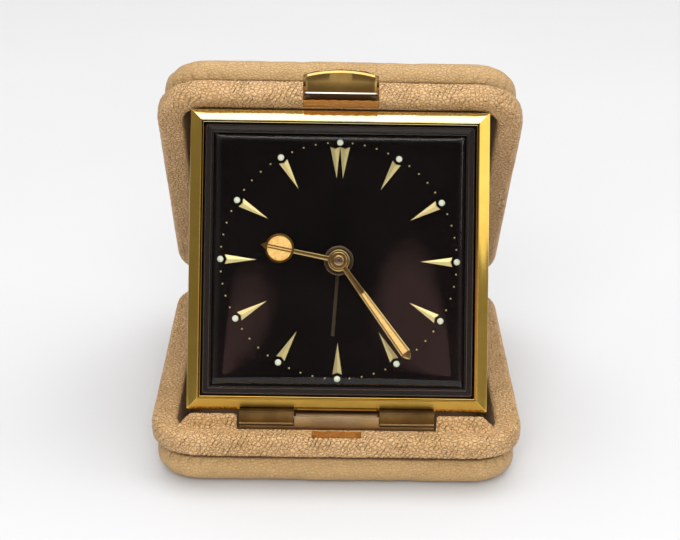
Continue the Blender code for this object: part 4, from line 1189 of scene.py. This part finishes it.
make("hinge_leaf_nickel",
     slab_y(LEAF, -39.25, -38.8, [circle(x, 9.5, 0.9, 20) for x in (-17.0, 0.0, 17.0)]),
     "base", HINGE, ("clock_hinge_leaf",), bevel=0.07)
make("hinge_knuckle_middle", rod_x(PIN_Y, PIN_Z, 1.0, -MIDDLE_X, MIDDLE_X), "base", HINGE,
     sharp=40)
make("hinge_leaf_roll", slab_x(LEAF_ROLL, -MIDDLE_X, MIDDLE_X), "base", HINGE,
     bevel=0.05)
for side, x0, x1 in (("right", TAB_X, LEAF_X), ("left", -LEAF_X, -TAB_X)):
    make("hinge_tab_" + side, slab_x(folded_flat(STRAP), x0, x1), "clock", TAB,
         ("clock_hinge_bracket",) if side == "right" else (), bevel=0.05)
    # painted highlight: the lip takes bright gilt against the dark tab, for the light along its
    # bent edge
    make("hinge_lip_" + side, slab_x(folded_flat(LIP), x0, x1), "clock", GILT_HAND,
         bevel=0.05)
    make("hinge_knuckle_" + side, rod_x(PIN_Y, PIN_Z, 0.98, x0 + 0.05, x1 - 0.4), "clock", TAB,
         sharp=40)
    make("hinge_bracket_" + side, slab_x(BRACKET, x0, x1 - 0.4), "clock", TAB,
         bevel=0.06)
make("hinge_bracket_bridge", slab_x(BRIDGE, -TAB_X, TAB_X), "clock", TAB, bevel=0.06)

# ------------------------------------------------------------------ latch
BUTTON_X, PLATE_X = 8.5, 8.8  # half widths


def button_section(x):
    """Arched top, front bowed out in the middle; the ends are drawn in by tuck."""
    u2 = (x / BUTTON_X) ** 2
    top = 20.95 + 1.15 * (1 - u2)
    front = -45.25 + 0.25 * u2
    end = min(1.0, (BUTTON_X - abs(x)) / 0.5)
    tuck = 0.30 * (1 - math.sqrt(max(0.0, 1 - (1 - end) ** 2)))
    return [(-43.6, 16.16 + tuck), (-43.66 + tuck * 0.6, 16.08 + tuck),
            (front + 1.40 + tuck * 0.3, 16.10 + tuck), (front + 1.22 + tuck * 0.5, 16.30 + tuck),
            (front + 0.58 + tuck, 18.9), (front + 0.06 + tuck, top - 1.14),
            (front + tuck, top - 1.08), (front + 0.13 + tuck, top - 0.66),
            (front + 0.26 + tuck, top - 0.62), (front + 0.27 + tuck, top - 0.52),
            (front + 0.40 + tuck, top - 0.14), (front + 0.62 + tuck, top - tuck * 0.5),
            (front + 0.85 + tuck, top - tuck), (-43.6, top - tuck)]


def plate_tuck(x, most):
    return most * (1 - min(1.0, (PLATE_X - abs(x)) / 0.4))


def plate_section(x):
    """Front lip of the latch plate, its lower edge sagging in the middle."""
    tuck = plate_tuck(x, 0.2)
    sag = 0.35 * (1 - (x / PLATE_X) ** 2)
    return [(-43.95, 15.3), (-44.30 + tuck, 15.3), (-44.44 + tuck, 15.28),
            (-44.48 + tuck, 15.24), (-44.46 + tuck, 15.16), (-44.40 + tuck, 15.08),
            (-44.02 + tuck * 0.3, 14.80 - sag * 0.5), (-43.92 + tuck * 0.3, 14.42 - sag * 0.1),
            (-43.62, 14.40), (-43.62, 14.8), (-43.95, 15.1)]


def bead_section(x):
    tuck = plate_tuck(x, 0.22)
    return [(-43.9, 15.78 - tuck), (-44.36 + tuck, 15.78 - tuck), (-44.56 + tuck, 15.72 - tuck),
            (-44.68 + tuck, 15.28 + tuck), (-44.60 + tuck, 15.18 + tuck),
            (-44.4, 15.20 + tuck), (-43.9, 15.24)]


def leather_tongue():
    """Thin leather sheet under the plate, its underside and front edge uneven."""
    rows, cols = 61, 9
    under = []
    for i in range(rows):
        for j in range(cols):
            front = 1 if j == 0 else 0
            under.append((-9.0 + 18.0 * i / (rows - 1),
                          -43.55 + 2.5 * j / (cols - 1) + 0.10 * math.sin(i * 0.7) * front,
                          14.04 + 0.03 * math.sin(i * 1.7 + j * 2.1) + 0.03 * front))
    top = [(x, y, 14.17) for x, y, _ in under]
    make("latch_leather_tongue", sheet(under, top, rows, cols), "lid", HIDE_EDGE,
         sharp=60)


make("latch_button_brass", swept_x(BUTTON_X, 40, button_section), "latch", LATCH,
     ("latch_button",), sharp=30)
make("latch_plate_bead", swept_x(PLATE_X, 40, bead_section), "lid", NICKEL, sharp=40)
leather_tongue()
flange = prism(rect(-PLATE_X, PLATE_X, -43.9, -41.1), 14.40, 14.65,
               [rect_hole(-2.6, 2.6, -43.55, -41.6)])
make("latch_plate_nickel", merge(swept_x(PLATE_X, 30, plate_section), flange), "lid", PLATE_SHADED,
     ("latch_plate",), sharp=30)
make("latch_striker_brass", prism(rect(-5.45, 5.45, -41.72, -40.88), 11.3, 11.9,
                                  [rect_hole(-3.2, 3.2, -41.45, -41.15)]),
     "base", LATCH, ("latch_striker",), bevel=0.05)

# ------------------------------------------------------------------ back of the clock
# Heights are over the dial's underside, so the back is below zero.
KNOB_LOW, KNOB_TOP = -10.5, -9.2


def place_on_back(joint):
    x, y, _ = joint_in_drawing(joint)
    return (x, y, FACE_Z)


def knurled_knob(name, joint, body, r, teeth, stem_r, replaces=()):
    n = teeth * 6
    a = np.linspace(0, 2 * math.pi, n, endpoint=False)
    ridge = 0.11 * np.cos(a * teeth)
    # (radius, height, share of the ridge)
    profile = [(0.001, KNOB_TOP, 0), (stem_r, KNOB_TOP, 0), (r - 0.75, KNOB_TOP, 0),
               (r - 0.25, KNOB_TOP - 0.06, 0.4), (r, KNOB_TOP - 0.22, 1),
               (r, KNOB_LOW + 0.22, 1), (r - 0.25, KNOB_LOW + 0.05, 0.4),
               (r - 0.8, KNOB_LOW, 0), (r - 1.0, KNOB_LOW + 0.12, 0),
               (0.001, KNOB_LOW + 0.12, 0)]
    rings = []
    for radius, height, share in profile:
        radius = radius + ridge * share
        rings.append(np.stack([radius * np.cos(a), radius * np.sin(a), np.full(n, height)], 1))
    make(name, moved(loft(rings), place_on_back(joint)), body, NICKEL_BACK, replaces,
         sharp=35)


def winding_key(name, joint, body):
    """Round collar with a pair of wings."""
    steps = 40
    wings = []
    for sign in (1, -1):
        for k in range(steps + 1):
            a = math.radians(-70 + 140 * k / steps)
            wings.append((sign * (3.25 + 2.35 * math.cos(a)), sign * 2.25 * math.sin(a)))
        wings += [(sign * 1.6, sign * 0.95), (sign * 0.4, sign * 0.85)]
    collar = lathe([(0, -9.05), (1.7, -9.05), (1.9, -9.2), (1.9, -9.8), (1.6, -10.15),
                    (1.1, -10.3), (0, -10.3)], 36)
    shape = merge(collar, prism(wings, KNOB_LOW, -9.65))
    make(name, moved(shape, place_on_back(joint)), body, NICKEL_BACK, bevel=0.14)


def cover_screw(name, x, y):
    at = (x, FACE_Y + y, FACE_Z)
    head = lathe([(0, -8.9), (1.35, -8.9), (1.42, -9.1), (1.3, -9.35), (0.9, -9.5), (0, -9.54)],
                 28)
    slot = prism(rect(-2, 2, -0.17, 0.17), -9.9, -9.3)
    shape, _ = carve(moved(head, at), [moved(slot, at)])
    make(name, shape, "clock", STEEL, sharp=30)


knurled_knob("knob_hand_set", "minute_spin", "minute_arbor", 3.45, 24, 0.9, ("hand_set_knob",))
knurled_knob("knob_alarm_set", "alarm_knob_spin", "alarm_setter", 2.5, 18, 0.5)
winding_key("key_time_wings", "time_wind", "time_key")
winding_key("key_alarm_wings", "alarm_wind", "alarm_key")
SCREW_AT = 29.5
for i, (sx, sy) in enumerate(((1, 1), (-1, 1), (-1, -1), (1, -1)), 1):
    cover_screw("cover_screw_%d" % i, sx * SCREW_AT, sy * SCREW_AT)

# ------------------------------------------------------------------ the frame's own pieces
SLOT_OF = {part["node"]: part["material_slot"] for part in RECORD["subparts"]}
BY_SLOT = {"leather_pad": TAN_PAD, "leather_rim": TAN_RIM, "suede_lining": VELOUR, "gilt": GILT,
           "raw_brass": BRASS, "nickel": NICKEL_BACK, "steel": STEEL, "black_dial": DIAL,
           "dark_bronze": BRONZE, "crystal": CRYSTAL}
for node, ob in frame["nodes"].items():
    mat = BY_SLOT[SLOT_OF[node]]
    if not ob.material_slots:
        ob.data.materials.append(mat)
    for material_slot in ob.material_slots:
        material_slot.material = mat
for node, width in (("clock_housing", 0.35), ("rear_cover", 0.25),
                    ("case_hinge_lower_leaf", 0.08), ("case_hinge_upper_leaf", 0.08),
                    ("regulator_lever", 0.08), ("alarm_stop_slide", 0.12)):
    add_bevel(frame["nodes"][node], width, 50)


# ------------------------------------------------------------------ floor, light, camera
def pale_floor():
    k = Material("floor_pale")
    k.set(Base_Color=k.ramp(k.noise(scale=0.004, detail=3),
                            (0.3, (0.625, 0.625, 0.630)), (0.7, (0.655, 0.655, 0.660))),
          Roughness=k.spread(k.noise(scale=0.05, detail=3), low=0.45, high=0.6),
          Specular_IOR_Level=0.2)
    bm = bmesh.new()
    bmesh.ops.create_grid(bm, x_segments=1, y_segments=1, size=3.0)
    mesh = bpy.data.meshes.new("floor")
    bm.to_mesh(mesh)
    bm.free()
    floor = bpy.data.objects.new("floor", mesh)
    floor.location = (0, 0, -0.00005)
    SCENE.collection.objects.link(floor)
    mesh.materials.append(k.mat)


def studio_world():
    """Soft room, bright overhead; reflections see a dark warm patch round the viewer."""
    world = bpy.data.worlds.new("studio")
    SCENE.world = world
    world.use_nodes = True
    k = Nodes(world.node_tree)
    direction = k.node("ShaderNodeTexCoord").outputs["Generated"]
    axes = k.node("ShaderNodeSeparateXYZ", {0: direction}).outputs
    # (upward part of the direction, grey level)
    levels = ((0.0, 0.42), (0.30, 0.42), (0.62, 0.80), (0.86, 1.30), (1.0, 1.40))
    sky = k.ramp(axes["Z"], *((height, (level,) * 3) for height, level in levels))
    # cone towards the viewer: 0.64 sets its edge, 4.2 how fast it fills
    toward = k.node("ShaderNodeVectorMath", {0: direction, 1: (0.05, -0.86, 0.50)},
                    operation="DOT_PRODUCT").outputs["Value"]
    cone = k.maths("MULTIPLY", k.maths("SUBTRACT", toward, 0.64), 4.2, clamp=True)
    glossy = k.node("ShaderNodeLightPath").outputs["Is Glossy Ray"]
    cone = k.maths("MULTIPLY", cone, glossy)
    # slightly brighter to +X and +Y; the cone takes away 0.945 of it
    level = k.maths("ADD", 0.80, k.maths("MULTIPLY", axes["X"], 0.14))
    level = k.maths("ADD", level, k.maths("MULTIPLY", axes["Y"], 0.16))
    shade = k.maths("SUBTRACT", 1.0, k.maths("MULTIPLY", cone, 0.945))
    level = k.maths("MULTIPLY", level, shade)
    tint = k.mix(cone, WHITE, (1.0, 0.66, 0.50))
    # two small glows inside the cone: (x, z, tightness)
    glows = []
    for x, z, tightness in ((0.135, 0.335, 170.0), (-0.155, 0.315, 210.0)):
        dx = k.maths("SUBTRACT", axes["X"], x)
        dz = k.maths("MULTIPLY", k.maths("SUBTRACT", axes["Z"], z), 0.55)
        square = k.maths("ADD", k.maths("MULTIPLY", dx, dx), k.maths("MULTIPLY", dz, dz))
        falloff = k.maths("MULTIPLY", square, tightness)
        glows.append(k.maths("MULTIPLY", k.maths("SUBTRACT", 1.0, falloff, clamp=True), 1.6))
    return k, sky, cone, level, tint, glows


def area_light(name, at, size, watts):
    light = bpy.data.lights.new(name, "AREA")
    light.shape = "RECTANGLE"
    light.size, light.size_y = size
    light.energy = watts
    ob = bpy.data.objects.new(name, light)
    ob.location = at
    aim = Vector((0, 0, 0.04)) - Vector(at)
    ob.rotation_euler = aim.to_track_quat("-Z", "Y").to_euler()
    SCENE.collection.objects.link(ob)
    return ob


def camera(target, distance, down, yaw, roll, lens):
    """Looks at the target from the front; angles in degrees."""
    down, yaw, roll = (math.radians(a) for a in (down, yaw, roll))
    forward = Vector((math.sin(yaw) * math.cos(down), math.cos(yaw) * math.cos(down),
                      -math.sin(down)))
    level = Vector((math.cos(yaw), -math.sin(yaw), 0))
    upright = level.cross(forward)
    right = level * math.cos(roll) + upright * math.sin(roll)
    up = upright * math.cos(roll) - level * math.sin(roll)
    data = bpy.data.cameras.new("camera")
    data.lens = lens
    data.clip_start = 0.01
    data.clip_end = 20
    ob = bpy.data.objects.new("camera", data)
    SCENE.collection.objects.link(ob)
    turn = Matrix((right, up, -forward)).transposed().to_4x4()
    ob.matrix_world = Matrix.Translation(target - forward * distance) @ turn
    SCENE.camera = ob


pale_floor()
room, sky, cone, level, tint, glows = studio_world()
glow = room.maths("MULTIPLY", room.maths("ADD", *glows), cone)
tinted = room.mix(1.0, sky, tint, "MULTIPLY")
scaled = room.node("ShaderNodeVectorMath", {0: tinted, "Scale": level}, operation="SCALE")
background = room.tree.nodes["Background"].inputs
room.put(background["Color"], room.mix(glow, scaled.outputs[0], (0.95, 0.52, 0.46), "ADD"))
room.put(background["Strength"], 0.9)
area_light("softbox_top", at=(0.05, 0.35, 1.45), size=(1.9, 1.2), watts=14.0)
front_box = area_light("softbox_front", at=(-0.15, -1.55, 1.05), size=(1.4, 0.9), watts=25.0)
front_box.visible_glossy = False
area_light("softbox_right", at=(0.75, -0.15, 0.45), size=(0.4, 0.5), watts=0.8)
camera(target=Vector((0.00054, 0.0, 0.03789)), distance=0.3933, down=23.885, yaw=0.505,
       roll=0.996, lens=81.550588)
SCENE.view_settings.view_transform = "Standard"
SCENE.view_settings.look = "None"
